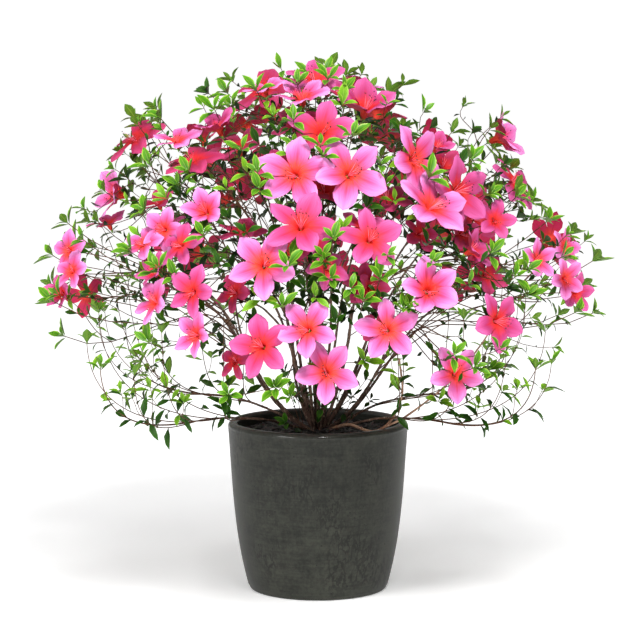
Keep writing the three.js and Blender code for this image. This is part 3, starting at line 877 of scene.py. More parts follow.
# %% [markdown]
# ## Geometry trees
# Three trees draw almost the whole plant. The first sweeps a round section along every
# path. The second does the same for the boughs, and then pushes the surface in and out to
# give the bark its ridges and the nodes where leaves once sat. The third sets a shape down
# on every spot of a list. Each ends by realizing its instances and setting its material,
# and its result is kept as a plain mesh.

# %% Making and running a geometry tree
def geometry_tree(name, inputs):
    """A tree with a geometry in and out and the named inputs, and the wires of all of them."""
    tree = bpy.data.node_groups.new(name, "GeometryNodeTree")
    tree.interface.new_socket("Geometry", in_out="INPUT", socket_type="NodeSocketGeometry")
    for label, kind in inputs.items():
        tree.interface.new_socket(label, in_out="INPUT", socket_type="NodeSocket" + kind)
    tree.interface.new_socket("Geometry", in_out="OUTPUT", socket_type="NodeSocketGeometry")
    nodes = Nodes(tree)
    given = tree.nodes.new("NodeGroupInput")
    return nodes, {s.name: Wire(nodes, s) for s in given.outputs if s.name}


def end_tree(nodes, geometry, finish):
    real = nodes.add("GeometryNodeRealizeInstances", None, {"Geometry": geometry})
    done = nodes.add("GeometryNodeSetMaterial", None, {"Geometry": real, "Material": finish})
    nodes.add("NodeGroupOutput", None, {"Geometry": done})
    return nodes.tree


SPOT_NOTES = ("thickness", "turn", "width", "shape")  # attributes that only the trees read


def run_tree(name, mesh, tree, values):
    """Runs a tree on a mesh and returns an object that holds the result as a plain mesh."""
    thing = bpy.data.objects.new(name, mesh)
    bpy.context.scene.collection.objects.link(thing)
    modifier = thing.modifiers.new("grow", "NODES")
    modifier.node_group = tree
    for socket in tree.interface.items_tree:
        if socket.item_type == "SOCKET" and socket.name in values:
            modifier[socket.identifier] = values[socket.name]
    depsgraph = bpy.context.evaluated_depsgraph_get()
    grown = thing.evaluated_get(depsgraph)
    result = bpy.data.meshes.new_from_object(grown, preserve_all_data_layers=True, depsgraph=depsgraph)
    thing.modifiers.clear()
    thing.data, result.name = result, name
    bpy.data.meshes.remove(mesh)
    for spare in SPOT_NOTES:
        if spare in result.attributes:
            result.attributes.remove(result.attributes[spare])
    result.calc_loop_triangles()
    print(f"{name}: {len(result.loop_triangles)} triangles")
    return thing


def noted(nodes, name, kind="FLOAT"):
    """What a path or a spot has noted under a name."""
    return nodes.add("GeometryNodeInputNamedAttribute", {"data_type": kind}, {"Name": name})


# %% The tree for rods
def rod_tree(name, relief):
    """Sweeps a round section along each path; with relief it also works up the bark."""
    inputs = {"Sides": "Int", "Finish": "Material"}
    if relief:
        inputs.update(dict.fromkeys(("Ring spacing", "Ridge depth", "Ridge scale", "Node spacing"), "Float"))
    nodes, given = geometry_tree(name, inputs)
    thickness = noted(nodes, "thickness")
    paths = nodes.add("GeometryNodeMeshToCurve", None, {"Mesh": given["Geometry"]})
    if relief:
        paths = nodes.add("GeometryNodeResampleCurve", {"mode": "LENGTH"},
                          {"Curve": paths, "Length": given["Ring spacing"]})
        length = nodes.add("GeometryNodeSplineParameter", out="Length")
        paths = nodes.add("GeometryNodeStoreNamedAttribute", {"data_type": "FLOAT", "domain": "POINT"},
                          {"Geometry": paths, "Name": "width", "Value": length})
    paths = nodes.add("GeometryNodeSetCurveRadius", None, {"Curve": paths, "Radius": thickness})
    section = nodes.add("GeometryNodeCurvePrimitiveCircle", {"mode": "RADIUS"},
                        {"Resolution": given["Sides"], "Radius": 1.0})
    swept = {"Curve": paths, "Profile Curve": section, "Fill Caps": True}
    probe = nodes.tree.nodes.new("GeometryNodeCurveToMesh")
    if "Scale" in probe.inputs:
        swept["Scale"] = nodes.add("GeometryNodeInputRadius")
    nodes.tree.nodes.remove(probe)
    rods = nodes.add("GeometryNodeCurveToMesh", None, swept)
    if relief:
        place = nodes.add("GeometryNodeInputPosition")
        along = noted(nodes, "width")
        streaks = nodes.noise(nodes.scaled(place, (1.0, 1.0, 0.22)), given["Ridge scale"], 3.0, 0.6)
        lumps = nodes.noise(place, given["Ridge scale"] * 0.2, 2.0, 0.5)
        turns = along / given["Node spacing"] + 2.0 * lumps
        rings = (turns - turns.maths("FLOOR", turns) - 0.5).size().between(0.36, 0.5)
        push = (streaks - 0.5) * 1.5 + (lumps - 0.5) * 0.8 + rings * 0.34
        normal = nodes.add("GeometryNodeInputNormal")
        offset = nodes.add("ShaderNodeVectorMath", {"operation": "SCALE"},
                           {0: normal, "Scale": push * given["Ridge depth"] * thickness})
        rods = nodes.add("GeometryNodeSetPosition", None, {"Geometry": rods, "Offset": offset})
    rods = nodes.add("GeometryNodeSetShadeSmooth", None, {"Geometry": rods})
    return end_tree(nodes, rods, given["Finish"])


# %% The tree for leaves, blooms and shreds
def scatter_tree():
    """Sets one of a collection's shapes down on every spot, turned and sized by the spot."""
    inputs = {"Shapes": "Collection", "Size": "Float", "Finish": "Material"}
    nodes, given = geometry_tree("set shapes on spots", inputs)
    shapes = nodes.add("GeometryNodeCollectionInfo", {"transform_space": "ORIGINAL"},
                       {"Collection": given["Shapes"], "Separate Children": True, "Reset Children": True})
    spots = nodes.add("GeometryNodeMeshToPoints", None, {"Mesh": given["Geometry"]})
    placed = nodes.add("GeometryNodeInstanceOnPoints", None, {
        "Points": spots, "Instance": shapes, "Pick Instance": True,
        "Instance Index": noted(nodes, "shape", "INT"), "Rotation": noted(nodes, "turn", "QUATERNION"),
        "Scale": noted(nodes, "width") * given["Size"]})
    return end_tree(nodes, placed, given["Finish"])


rods = rod_tree("sweep twigs", relief=False)
barked_rods = rod_tree("sweep boughs with bark", relief=True)
scatter = scatter_tree()


# %% Handing lists to the trees
def note(mesh, name, kind, values):
    """Notes one value under a name on each point of a mesh."""
    mesh.attributes.new(name, kind, "POINT").data.foreach_set("value", values)


def paths_mesh(paths):
    """All paths as one mesh of edges, with the thickness kept on its points."""
    mesh = bpy.data.meshes.new("paths")
    counts = [len(path) for path, _ in paths]
    first = np.concatenate([[0], np.cumsum(counts)[:-1]])
    edges = [np.stack([np.arange(n - 1), np.arange(1, n)], 1) + f for n, f in zip(counts, first)]
    mesh.from_pydata(np.concatenate([path for path, _ in paths]) * MM, np.concatenate(edges).tolist(), [])
    note(mesh, "thickness", "FLOAT", np.concatenate([radii for _, radii in paths]) * MM)
    return mesh


def quaternions(y, z):
    """Turns, as w x y z, that point +Y along y and +Z along z."""
    turns = np.stack([np.cross(y, z), y, z], axis=2)
    return np.array([Matrix(turn.tolist()).to_quaternion() for turn in turns])


def spots_mesh(spots):
    """Spots in millimetres: place, ways of +Y and +Z, size, and which of the shapes it is."""
    at, y, z, sizes, kinds = (np.array(column, float) for column in zip(*spots))
    mesh = bpy.data.meshes.new("spots")
    mesh.from_pydata(at * MM, [], [])
    note(mesh, "turn", "QUATERNION", quaternions(y, z).ravel())
    note(mesh, "width", "FLOAT", sizes * MM)
    note(mesh, "shape", "INT", kinds.astype(np.int32))
    return mesh


def set_down(name, spots, shapes, finish):
    """Sets shapes, modelled one unit long, down on spots."""
    return run_tree(name, spots_mesh(spots), scatter, {"Shapes": shapes, "Size": 1.0, "Finish": finish})


# %% Shapes for the scatter tree
def shape_mesh(name, points, faces, maps=None):
    """A mesh from points and faces, smooth except where it folds back on itself."""
    mesh = bpy.data.meshes.new(name)
    mesh.from_pydata([tuple(p) for p in points], [], faces)
    mesh.polygons.foreach_set("use_smooth", [True] * len(mesh.polygons))
    if maps is not None:
        layer = mesh.uv_layers.new(name="OFBake")
        layer.data.foreach_set("uv", np.array(maps, float).ravel())
    mesh.set_sharp_from_angle(angle=math.radians(75))
    mesh.validate()
    return mesh


shape_groups = []


def shape_collection(name, meshes):
    group = bpy.data.collections.new(name)
    for i, mesh in enumerate(meshes):
        group.objects.link(bpy.data.objects.new(f"{name}_{i:02d}", mesh))
    shape_groups.append(group)
    return group


# %% [markdown]
# ## Finishes
# Each finish is a small shader tree. The pot's is fired and rubbed charcoal: cloudy, with
# faint strokes up and round it and fine pits. Bark reads the object's own coordinates.
# Leaves and petals carry a map of their own, with the place across the blade on one axis
# and the place along it on the other, so a midrib, a pale margin or a red throat always
# falls in the right place. The upper faces use the left half of the map and the backs the
# right half.

# %% Helpers for finishes
def new_finish(name, settings):
    """A material with its surface shader, and the constant values set on that shader."""
    material = bpy.data.materials.new(name)
    material.use_nodes = True
    shader = material.node_tree.nodes["Principled BSDF"]
    for socket, value in settings.items():
        shader.inputs[socket].default_value = (*value, 1) if socket == "Base Color" else value
    return material, Nodes(material.node_tree), shader


def feed(nodes, shader, socket, wire):
    nodes.tree.links.new(wire.socket, shader.inputs[socket])


def bump(nodes, shader, height, strength, distance):
    made = nodes.add("ShaderNodeBump", None, {"Height": height, "Strength": strength, "Distance": distance})
    feed(nodes, shader, "Normal", made)


def object_place(nodes):
    return nodes.add("ShaderNodeTexCoord", out="Object")


MAP = {"middle": 0.25, "half": 0.5, "reach": 0.23, "foot": 0.02, "length": 0.96}


def blade_map(nodes):
    """The place across a blade (0 midrib, 1 edge), along it, and whether it is the back."""
    place = nodes.add("ShaderNodeUVMap", {"uv_map": "OFBake"})
    split = nodes.add("ShaderNodeSeparateXYZ", None, {"Vector": place}, "X")
    up = Wire(nodes, split.socket.node.outputs["Y"])
    back = split.maths("GREATER_THAN", split, MAP["half"])
    across = ((split - back * MAP["half"] - MAP["middle"]) / MAP["reach"]).size()
    return across, (up - MAP["foot"]) / MAP["length"], back


# %% The pot's finish
def pot_finish():
    gloss = {"Specular IOR Level": 0.22, "Coat Roughness": 0.1}
    material, nodes, shader = new_finish("charcoal planter", gloss)
    place = object_place(nodes)

    def strokes(by, detail, roughness):
        return nodes.noise(nodes.scaled(place, by), 1.0, detail, roughness)

    drift = nodes.noise(place, 7.0, 5.0, 0.7)
    mottle = strokes((38.0, 38.0, 46.0), 8.0, 0.74)
    scratches = strokes((14.0, 14.0, 260.0), 4.0, 0.75)
    upright = strokes((240.0, 240.0, 16.0), 3.0, 0.7)
    fine = nodes.noise(place, 260.0, 3.0, 0.6)
    grain = drift * 0.26 + mottle * 0.3 + scratches * 0.18 + upright * 0.1 + fine * 0.16
    pits = 1 - nodes.add("ShaderNodeTexVoronoi", None, {"Vector": place, "Scale": 130.0}).between(0.08, 0.2)
    worn = pits * nodes.noise(place, 22.0, 3.0, 0.6).between(0.5, 0.58)
    crackle = 1 - (strokes((90.0, 90.0, 45.0), 4.0, 0.6) - 0.5).size().between(0.01, 0.07)
    rubbed = crackle * nodes.noise(place, 13.0, 3.0, 0.6).between(0.48, 0.6)
    shade = nodes.mix(grain.between(0.38, 0.62), (0.01, 0.011, 0.0085), (0.044, 0.0465, 0.0355))
    shade = nodes.mix(rubbed * 0.7, shade, (0.007, 0.007, 0.006))
    feed(nodes, shader, "Base Color", nodes.mix(worn * 0.75, shade, (0.006, 0.006, 0.005)))
    feed(nodes, shader, "Roughness", 0.42 + grain.between(0.4, 0.6) * 0.12)
    height = nodes.add("ShaderNodeSeparateXYZ", None, {"Vector": place}, "Z")
    feed(nodes, shader, "Coat Weight", 0.04 + height.between(0.2165, 0.223) * 0.7)
    bump(nodes, shader, grain - worn * 0.4, 0.3, 0.0012)
    return material


def soil_finish(name, dark, light):
    material, nodes, shader = new_finish(name, {"Roughness": 0.5, "Specular IOR Level": 0.45})
    place = object_place(nodes)
    feed(nodes, shader, "Base Color", nodes.mix(nodes.noise(place, 160.0).between(0.4, 0.66), dark, light))
    bump(nodes, shader, nodes.noise(place, 420.0), 0.5, 0.001)
    return material


def bark_finish(name, dark, mid, pale, scale):
    material, nodes, shader = new_finish(name, {"Roughness": 0.72, "Specular IOR Level": 0.25})
    place = object_place(nodes)
    streaks = nodes.noise(nodes.scaled(place, (1.0, 1.0, 0.2)), scale, 4.0, 0.6)
    patches = nodes.noise(place, scale * 0.16, 3.0, 0.5)
    colour = nodes.mix(patches.between(0.38, 0.62), dark, mid)
    feed(nodes, shader, "Base Color", nodes.mix(streaks.between(0.52, 0.68) * 0.75, colour, pale))
    bump(nodes, shader, streaks, 0.4, 0.0006)
    return material


# %% Leaves and petals
def leaf_finish(name, heart, blade, margin, under):
    material, nodes, shader = new_finish(name, {"Roughness": 0.4, "Specular IOR Level": 0.2})
    across, along, back = blade_map(nodes)
    top = nodes.mix((along * 0.75 + across * 0.45).between(0.1, 0.75), heart, blade)
    edge = (across + along * 0.3).between(0.8, 1.22)
    top = nodes.mix(edge * 0.8, top, margin)
    rib = 1 - across.between(0.03, 0.12)
    top = nodes.mix(rib * 0.35, top, margin)
    below = nodes.mix(rib * 0.35, under, margin)
    feed(nodes, shader, "Base Color", nodes.mix(back, top, below))
    return material


def petal_streaks(nodes):
    """Faint veins that run along a petal."""
    place = nodes.add("ShaderNodeUVMap", {"uv_map": "OFBake"})
    return nodes.noise(nodes.scaled(place, (70.0, 2.2, 1.0)), 1.0, 2.0, 0.5)


def petal_finish(name, throat, blade, tip, back_colour):
    material, nodes, shader = new_finish(name, {"Roughness": 0.6, "Specular IOR Level": 0.2})
    across, along, back = blade_map(nodes)
    veins = petal_streaks(nodes)
    star = along + across * along * 0.2 + (veins - 0.5) * 0.34
    front = nodes.mix(star.between(0.32, 0.68), throat, blade)
    outward = (along * 0.85 + across * along * 0.4 + (veins - 0.5) * 0.3).between(0.46, 1.0)
    front = nodes.mix(outward, front, tip)
    front = nodes.mix(veins.between(0.5, 0.66) * 0.5, front, blade)
    # Painted shade: the front darkens to deep red along the midrib's crease, partway up the petal.
    crease_shade = (1 - across.between(0.02, 0.12)) * (1 - along.between(0.5, 0.8)) * along.between(0.2, 0.45)
    front = nodes.mix(crease_shade * 0.5, front, (0.6, 0.012, 0.03))
    behind = nodes.mix(along.between(0.25, 0.6), (0.75, 0.05, 0.03), back_colour)
    behind = nodes.mix((1 - across.between(0.04, 0.14)) * 0.4, behind, (0.3, 0.008, 0.03))
    feed(nodes, shader, "Base Color", nodes.mix(back, front, behind))
    return material


# %% [markdown]
# ## The planter
# The real pot is a thick-walled round vessel with bellied sides and a rounded lip. A
# profile turned on an axis is exactly how it would be thrown or cast, so the profile is
# drawn once, smoothed, and swept round in 128 steps. The wall is one closed shell, from
# the flat foot over the lip and down inside to the floor.

# %% The pot
WALL_LINE = [(0, 92.3), (0.133, 99.9), (0.356, 108.7), (0.689, 115.8), (0.965, 120)]
POT = {"height": 225, "foot": 90, "wall": 13, "floor": 14, "lip": 6.2, "sides": 128}


def wall_radius(z):
    """The outer radius, on one smooth curve through the five measured widths."""
    share, radius = zip(*WALL_LINE)
    fit = np.polynomial.Polynomial.fit(share, radius, 3)
    return float(fit(z / POT["height"]))


def arc(r, z, radius, start, end, steps):
    a = np.radians(np.linspace(start, end, steps + 1))
    return [(r + radius * math.cos(b), z + radius * math.sin(b)) for b in a]


def around(sides):
    """Evenly spaced angles, one for each side."""
    return np.arange(sides) * 2 * math.pi / sides


def closed_rings(rings, sides):
    """Faces from ring to ring, closed by a low and a high point that follow the rings."""
    low, high, last = rings * sides, rings * sides + 1, (rings - 1) * sides
    faces = []
    for k in range(sides):
        n = (k + 1) % sides
        faces += [(low, n, k), (high, last + k, last + n)]
        faces += [(i + k, i + n, i + sides + n, i + sides + k) for i in range(0, last, sides)]
    return faces


def turned(profile, sides):
    """Points and faces of a profile swept round the upright axis. Its ends lie on the axis."""
    inner = profile[1:-1]
    points = [(r * math.cos(b), r * math.sin(b), z) for r, z in inner for b in around(sides)]
    points += [(0, 0, profile[0][1]), (0, 0, profile[-1][1])]
    return points, closed_rings(len(inner), sides)


# %% The pot's wall
def solid_piece(name, points, faces, finish, sharp=40):
    """An object from points in millimetres, smooth but for its hard edges."""
    mesh = bpy.data.meshes.new(name)
    mesh.from_pydata([tuple(c * MM for c in p) for p in points], [], faces)
    mesh.polygons.foreach_set("use_smooth", [True] * len(mesh.polygons))
    mesh.set_sharp_from_angle(angle=math.radians(sharp))
    mesh.materials.append(finish)
    thing = bpy.data.objects.new(name, mesh)
    bpy.context.scene.collection.objects.link(thing)
    return thing


top = POT["height"]
heights = np.linspace(6, top - 9, 22)
rim = wall_radius(top - 9)
profile = [(0, 0), (POT["foot"] - 1, 0), *arc(POT["foot"] - 1, 3, 3, -60, 0, 3)]
profile += [(wall_radius(z), z) for z in heights]
profile += arc(rim - POT["lip"] + 0.5, top - POT["lip"], POT["lip"], 0, 90, 8)
profile += arc(rim - POT["wall"] + 5.2, top - 5, 5, 100, 180, 6)
profile += [(wall_radius(z) - POT["wall"], z) for z in reversed(heights[2:])]
profile += [(POT["foot"] - POT["wall"], POT["floor"]), (0, POT["floor"])]
pot = solid_piece("planter", *turned(profile, POT["sides"]), pot_finish())
print("pot", round(2 * rim), "mm across and", top, "mm high, with", len(pot.data.polygons), "faces")

# %% [markdown]
# ## Soil and bark mulch
# Potting mix for azaleas is dark, coarse and fibrous. The bed is a low mound with ridges
# pushed into it by noise, and over it lie hundreds of shreds of bark, set down by the
# scatter tree from a few curved shapes.

# %% The bed
from mathutils import noise as land


def soil_height(x, y):
    ridges = land.fractal(vec(x * 0.05, y * 0.05, 3.1).tolist(), 0.9, 2.2, 4)
    mound = 4 * math.exp(-((x * x + y * y) / 42**2))
    return 209 + mound + 3.2 * ridges


BED = {"radius": 105.6, "rings": 34, "foot": 101, "floor": 170, "sides": 120}


def bed():
    """The ridged top in rings, and a plain plug under it."""
    sides = BED["sides"]
    points = [(0, 0, soil_height(0, 0))]
    for i in range(1, BED["rings"] + 1):
        r = BED["radius"] * i / BED["rings"]
        spots = [(r * math.cos(a), r * math.sin(a)) for a in around(sides)]
        points += [(x, y, soil_height(x, y)) for x, y in spots]
    points += [(BED["foot"] * math.cos(a), BED["foot"] * math.sin(a), BED["floor"]) for a in around(sides)]
    points.append((0, 0, BED["floor"]))
    low, faces = len(points) - 1, []
    for k in range(sides):
        n = (k + 1) % sides
        faces += [(0, 1 + k, 1 + n), (low - sides + k, low, low - sides + n)]
        faces += [(a + k, a + sides + k, a + sides + n, a + n) for a in range(1, low - sides, sides)]
    return points, faces


# %% Shreds of bark
def shred(rng):
    """A curved splinter of bark, one unit long, with a four-sided section."""
    bend, lift, wide = rng.uniform(-0.9, 0.9), rng.uniform(0, 0.6), rng.uniform(0.08, 0.16)
    points = []
    for t, grow in ((-0.5, 0.35), (-0.2, 1.0), (0.15, 0.9), (0.5, 0.3)):
        for x, y in ((wide, 0), (0, 0.05), (-wide, 0), (0, -0.05)):
            points.append((x * grow + bend * t * t, y * grow - lift * t * t, t))
    faces = [(3, 2, 1, 0), (12, 13, 14, 15)]
    for i in range(3):
        for k in range(4):
            n = (k + 1) % 4
            faces.append((4 * i + k, 4 * i + n, 4 * i + 4 + n, 4 * i + 4 + k))
    return shape_mesh("shred", points, faces)


SHRED_KINDS = 6


def shred_spot(rng):
    """A shred on the bed: its place, two of its ways, its length and its shape."""
    r, a, heading = 100 * math.sqrt(rng.uniform()), rng.uniform(0, 6.283), rng.uniform(0, 6.283)
    x, y = r * math.cos(a), r * math.sin(a)
    tilt = rng.normal(0, 0.3)
    z_way = vec(math.cos(heading) * math.cos(tilt), math.sin(heading) * math.cos(tilt), math.sin(tilt))
    y_way = unit(np.cross(z_way, vec(-math.sin(heading), math.cos(heading), rng.normal(0, 0.3))))
    y_way = unit(y_way - (y_way @ z_way) * z_way)
    at = (x, y, soil_height(x, y) + rng.uniform(0.2, 3.4))
    return at, y_way if y_way[2] > 0 else -y_way, z_way, rng.uniform(8, 22), rng.integers(SHRED_KINDS)


mix_finish = soil_finish("dark potting mix", (0.003, 0.0027, 0.0024), (0.012, 0.010, 0.009))
soil = solid_piece("potting_mix", *bed(), mix_finish)
rng = np.random.default_rng(21)
lying = [shred_spot(rng) for _ in range(1500)]
shreds = set_down("bark_mulch", lying, shape_collection("shred", [shred(rng) for _ in range(SHRED_KINDS)]),
                  soil_finish("bark mulch", (0.004, 0.004, 0.004), (0.05, 0.047, 0.044)))

# %% [markdown]
# ## Boughs, twigs and the root crown
# The stems of an old azalea are no thicker than a pencil, grey-brown with pale streaks.
# The root crown is the knobbly burl that they all rise from, half sunk in the mulch. The
# relief of the bark is real shape, not only shading, so it also shows on the outline.

# %% Wood
BARKS = {  # dark, mid, pale, and how fine the streaks are
    "grey-brown bark": ((0.046, 0.023, 0.016), (0.12, 0.07, 0.05), (0.31, 0.23, 0.17), 420.0),
    "tan bark": ((0.2, 0.1, 0.06), (0.33, 0.2, 0.13), (0.5, 0.36, 0.26), 420.0),
    "red-brown twig": ((0.05, 0.017, 0.009), (0.105, 0.042, 0.02), (0.2, 0.125, 0.055), 600.0),
}
bark, tan_bark, twig_bark = (bark_finish(name, *look) for name, look in BARKS.items())


def barked(name, paths, finish, ridge):
    return run_tree(name, paths_mesh(paths), barked_rods, {
        "Sides": 10, "Finish": finish, "Ring spacing": 2.8 * MM, "Ridge depth": ridge,
        "Ridge scale": 480.0, "Node spacing": 26 * MM})


boughs = barked("stems_and_boughs", wood["boughs"], bark, 0.55)
tan_boughs = barked("tan_boughs", wood["tan"], tan_bark, 0.35)
twigs = run_tree("twigs", paths_mesh(wood["twigs"]), rods, {"Sides": 5, "Finish": twig_bark})


# %% The root crown
def burl():
    """A low dome with knobs, in rings from its foot up."""
    sides, rings = 36, 12
    points = []
    for t in (i / rings for i in range(rings)):
        for a in around(sides):
            knob = land.noise(vec(math.cos(a) * 1.7, math.sin(a) * 1.7, t * 2.5).tolist())
            r = (27 - 13 * t**0.6) * math.sqrt(1 - t**3) * (1 + 0.22 * knob)
            points.append((r * math.cos(a), r * math.sin(a), 206 + 12 * t + 2 * knob * t))
    return points + [(0, 0, 206), (0, 0, 218)], closed_rings(rings, sides)


root = solid_piece("root_burl", *burl(), bark, sharp=80)

# %% [markdown]
# ## Leaf shapes
# An azalea leaf is obovate: a short stalk, the widest part past the middle and a small
# point. Each shape is a thin closed blade of 24 faces with a fold along its midrib and a
# downward curl, made one unit long so that the scatter can size it in millimetres. A few
# shapes with other curls and widths are enough that no two neighbours look alike.

# %% Blades
def closed_sheet(spots, columns, turned_over=False):
    """Faces and map of a thin blade: an upper sheet of columns and a back in two strips.

    Its points are the foot, then rows of the columns with one point of the back, and the tip.
    """
    tip, first = len(spots) - 1, range(1, len(spots) - 1, columns + 1)
    strips = [(j, j + 1, 0) for j in range(columns - 1)] + [(columns - 1, columns, 1), (columns, 0, 1)]
    faces, maps = [], []
    for a, b, back in strips:
        strip = [(0, first[0] + a, first[0] + b), (tip, first[-1] + b, first[-1] + a)]
        strip += [(low + a, high + a, high + b, low + b) for low, high in zip(first, first[1:])]
        for face in strip:
            face = (face[0], *face[:0:-1]) if turned_over else face
            faces.append(face)
            for across, along in (spots[i] for i in face):
                maps.append((MAP["middle"] + MAP["half"] * back + MAP["reach"] * across,
                             MAP["foot"] + MAP["length"] * along))
    return faces, maps


def blade(line, half_widths, fold, curl, twist):
    """A closed thin blade along +Z with its upper face to +Y, and its map."""
    points, spots = [(0.0, 0.0, 0.0)], [(0.0, 0.0)]
    for s, half in zip(line[1:-1], half_widths):
        turn, sag, z = twist * s, -curl * s * s * 0.5, s * (1 - curl * curl * s * s / 6)
        for v in (-1, 0, 1):
            x, y = v * half, fold * abs(v) * half
            points.append((x * math.cos(turn) - y * math.sin(turn),
                           sag + x * math.sin(turn) + y * math.cos(turn), z))
            spots.append((v, s))
        points.append((0.0, sag - 0.018, z))
        spots.append((0.0, s))
    points.append((0.0, -curl * 0.5, 1 - curl * curl / 6))
    spots.append((0.0, 1.0))
    return points, *closed_sheet(spots, 3)


# %% Broad and slender leaves
def leaf_shapes(name, line, swell, kinds):
    """Leaves with one outline, each kind with its own width, fold, curl and twist."""
    made = []
    for width, fold, curl, twist in kinds:
        half = [0.5 * width * w for w in swell]
        made.append(shape_mesh(name, *blade(line, half, fold, curl, twist)))
    return shape_collection(name, made)


broad = leaf_shapes("broad leaf", [0, 0.12, 0.3, 0.5, 0.7, 0.87, 1], (0.16, 0.62, 1.0, 0.9, 0.45), (
    (0.37, 0.5, 0.35, 0.1), (0.39, 0.35, 0.6, -0.2), (0.34, 0.55, 0.15, 0.25),
    (0.37, 0.3, 0.8, 0.0), (0.41, 0.45, -0.2, -0.1)))
slender = leaf_shapes("slender leaf", [0, 0.15, 0.42, 0.75, 1], (0.35, 1.0, 0.72), (
    (0.33, 0.3, 0.9, 0.2), (0.38, 0.3, 0.5, -0.3), (0.29, 0.35, 1.3, 0.1)))

# %% Setting the leaves down
# The mid and dark tints, dealt deeper in the crown, are partly real older leaves and partly painted shade.
LEAF_TINTS = {  # heart, blade, margin and underside
    "bright": ((0.014, 0.072, 0.0024), (0.08, 0.265, 0.0065), (0.45, 0.63, 0.075), (0.1, 0.22, 0.018)),
    "fresh": ((0.045, 0.16, 0.003), (0.16, 0.38, 0.012), (0.44, 0.63, 0.085), (0.15, 0.3, 0.034)),
    "mid": ((0.006, 0.031, 0.001), (0.018, 0.082, 0.0025), (0.095, 0.22, 0.012), (0.027, 0.072, 0.0065)),
    "dark": ((0.0025, 0.012, 0.0004), (0.005, 0.023, 0.0009), (0.02, 0.056, 0.003), (0.01, 0.029, 0.003)),
    "slender": ((0.006, 0.029, 0.0012), (0.016, 0.075, 0.0025), (0.067, 0.168, 0.009), (0.03, 0.08, 0.0075)),
}
pieces = {}
for tint, colours in LEAF_TINTS.items():
    shapes = slender if tint == "slender" else broad
    count = len(shapes.objects)
    spots = [(*leaf, i * 7 % count) for i, leaf in enumerate(leaves[tint])]
    pieces[f"leaves_{tint}"] = set_down(f"leaves_{tint}", spots, shapes, leaf_finish(f"{tint} leaf", *colours))

# %% [markdown]
# ## Blooms
# Each bloom is a funnel whose tube opens into five broad petals. The middle line of a
# petal is worked out by turning a heading from nearly along the axis to nearly across it,
# which is how the real one unrolls; its cross-section follows the round of the tube low
# down and opens into a creased blade. A few blooms that differ in how far they have opened
# are set down by the scatter tree, and the stamens and their anthers follow as pieces of
# their own because each has another finish.

# %% Petals
PETAL = {"length": 0.7, "tube": math.radians(9), "middle": 0.03, "back": 0.011}
STATIONS = np.array([0.1, 0.22, 0.34, 0.47, 0.61, 0.74, 0.86, 0.95])
HALF_WIDTHS = np.array([0.025, 0.038, 0.088, 0.139, 0.165, 0.156, 0.115, 0.062])
COLUMNS = (-1, -0.68, -0.34, 0, 0.34, 0.68, 1)


def petal_line(opening, reflex):
    """How far out and how high a petal's middle line runs, and its heading, at 101 places."""
    fine = np.linspace(0, 1, 101)
    ease = np.clip((fine - 0.14) / 0.3, 0, 1)
    heading = PETAL["tube"] + (opening - PETAL["tube"]) * ease * ease * (3 - 2 * ease)
    heading = heading + reflex * np.clip((fine - 0.6) / 0.4, 0, 1) ** 1.3
    out, up = (np.concatenate([[0], np.cumsum(f(heading[:-1]))]) for f in (np.sin, np.cos))
    return fine, (PETAL["middle"] + PETAL["length"] * out / 100, PETAL["length"] * up / 100, heading)


def petal(opening, reflex, wide, wave, phase):
    """Points, faces and map of a petal in a bloom one unit across, its axis +Z and its own way +X."""
    fine, (radius, height, heading) = petal_line(opening, reflex)
    ripple = 1 + 0.035 * np.sin(17 * STATIONS + 2 * phase) * STATIONS
    points, spots = [(0.012, 0, 0)], [(0, 0)]
    for u, w in zip(STATIONS, wide * HALF_WIDTHS * ripple):
        r, z, h = (float(np.interp(u, fine, v)) for v in (radius, height, heading))
        tube = 1 - min(max((u - 0.22) / 0.26, 0), 1)
        inward = (-math.cos(h), math.sin(h))  # the way that the petal's upper face looks
        for v in (*COLUMNS, None):  # the last one is the middle of the back
            back, v = (PETAL["back"] if v is None else 0), v or 0
            y = v * w
            cup = r - math.sqrt(max(r * r - y * y, (0.4 * r) ** 2))
            groove = -0.042 * math.exp(-(v / 0.42) ** 2) * (1 - tube) * (1.1 - u)
            edge = -0.026 * abs(v) ** 3 + wave * math.sin(12 * u + phase + 2 * v) * v * v
            lift = tube * cup + (1 - tube) * (edge + 0.15 * y) + 0.05 * y + groove - back
            points.append((r + lift * inward[0], y, z + lift * inward[1]))
            spots.append((v, u))
    points.append((float(radius[-1]), 0, float(height[-1])))
    spots.append((0, 1))
    return points, *closed_sheet(spots, len(COLUMNS), turned_over=True)


# %% A bloom from five petals
def turned_about(points, angle, lean=0.0):
    """Points leaned outwards by an angle about Y and then turned about +Z."""
    made = []
    for x, y, z in points:
        x, z = x * math.cos(lean) + z * math.sin(lean), z * math.cos(lean) - x * math.sin(lean)
        made.append((x * math.cos(angle) - y * math.sin(angle), x * math.sin(angle) + y * math.cos(angle), z))
    return made


def joined(parts):
    points, faces, maps = [], [], []
    for p, f, m in parts:
        faces += [tuple(i + len(points) for i in face) for face in f]
        points += p
        maps += m
    return points, faces, maps


def bloom_shape(opening, reflex, rng):
    parts = []
    for k in range(5):
        p, f, m = petal(math.radians(opening + rng.normal(0, 4)), math.radians(reflex + rng.normal(0, 7)),
                        rng.uniform(0.9, 1.1), 0.024, rng.uniform(0, ROUND))
        grow = rng.uniform(0.95, 1.04)
        p = turned_about(p, 2 * math.pi * k / 5 + rng.normal(0, 0.05), rng.normal(0, 0.03))
        parts.append(([(x * grow, y * grow, z * grow) for x, y, z in p], f, m))
    return shape_mesh("bloom", *joined(parts))


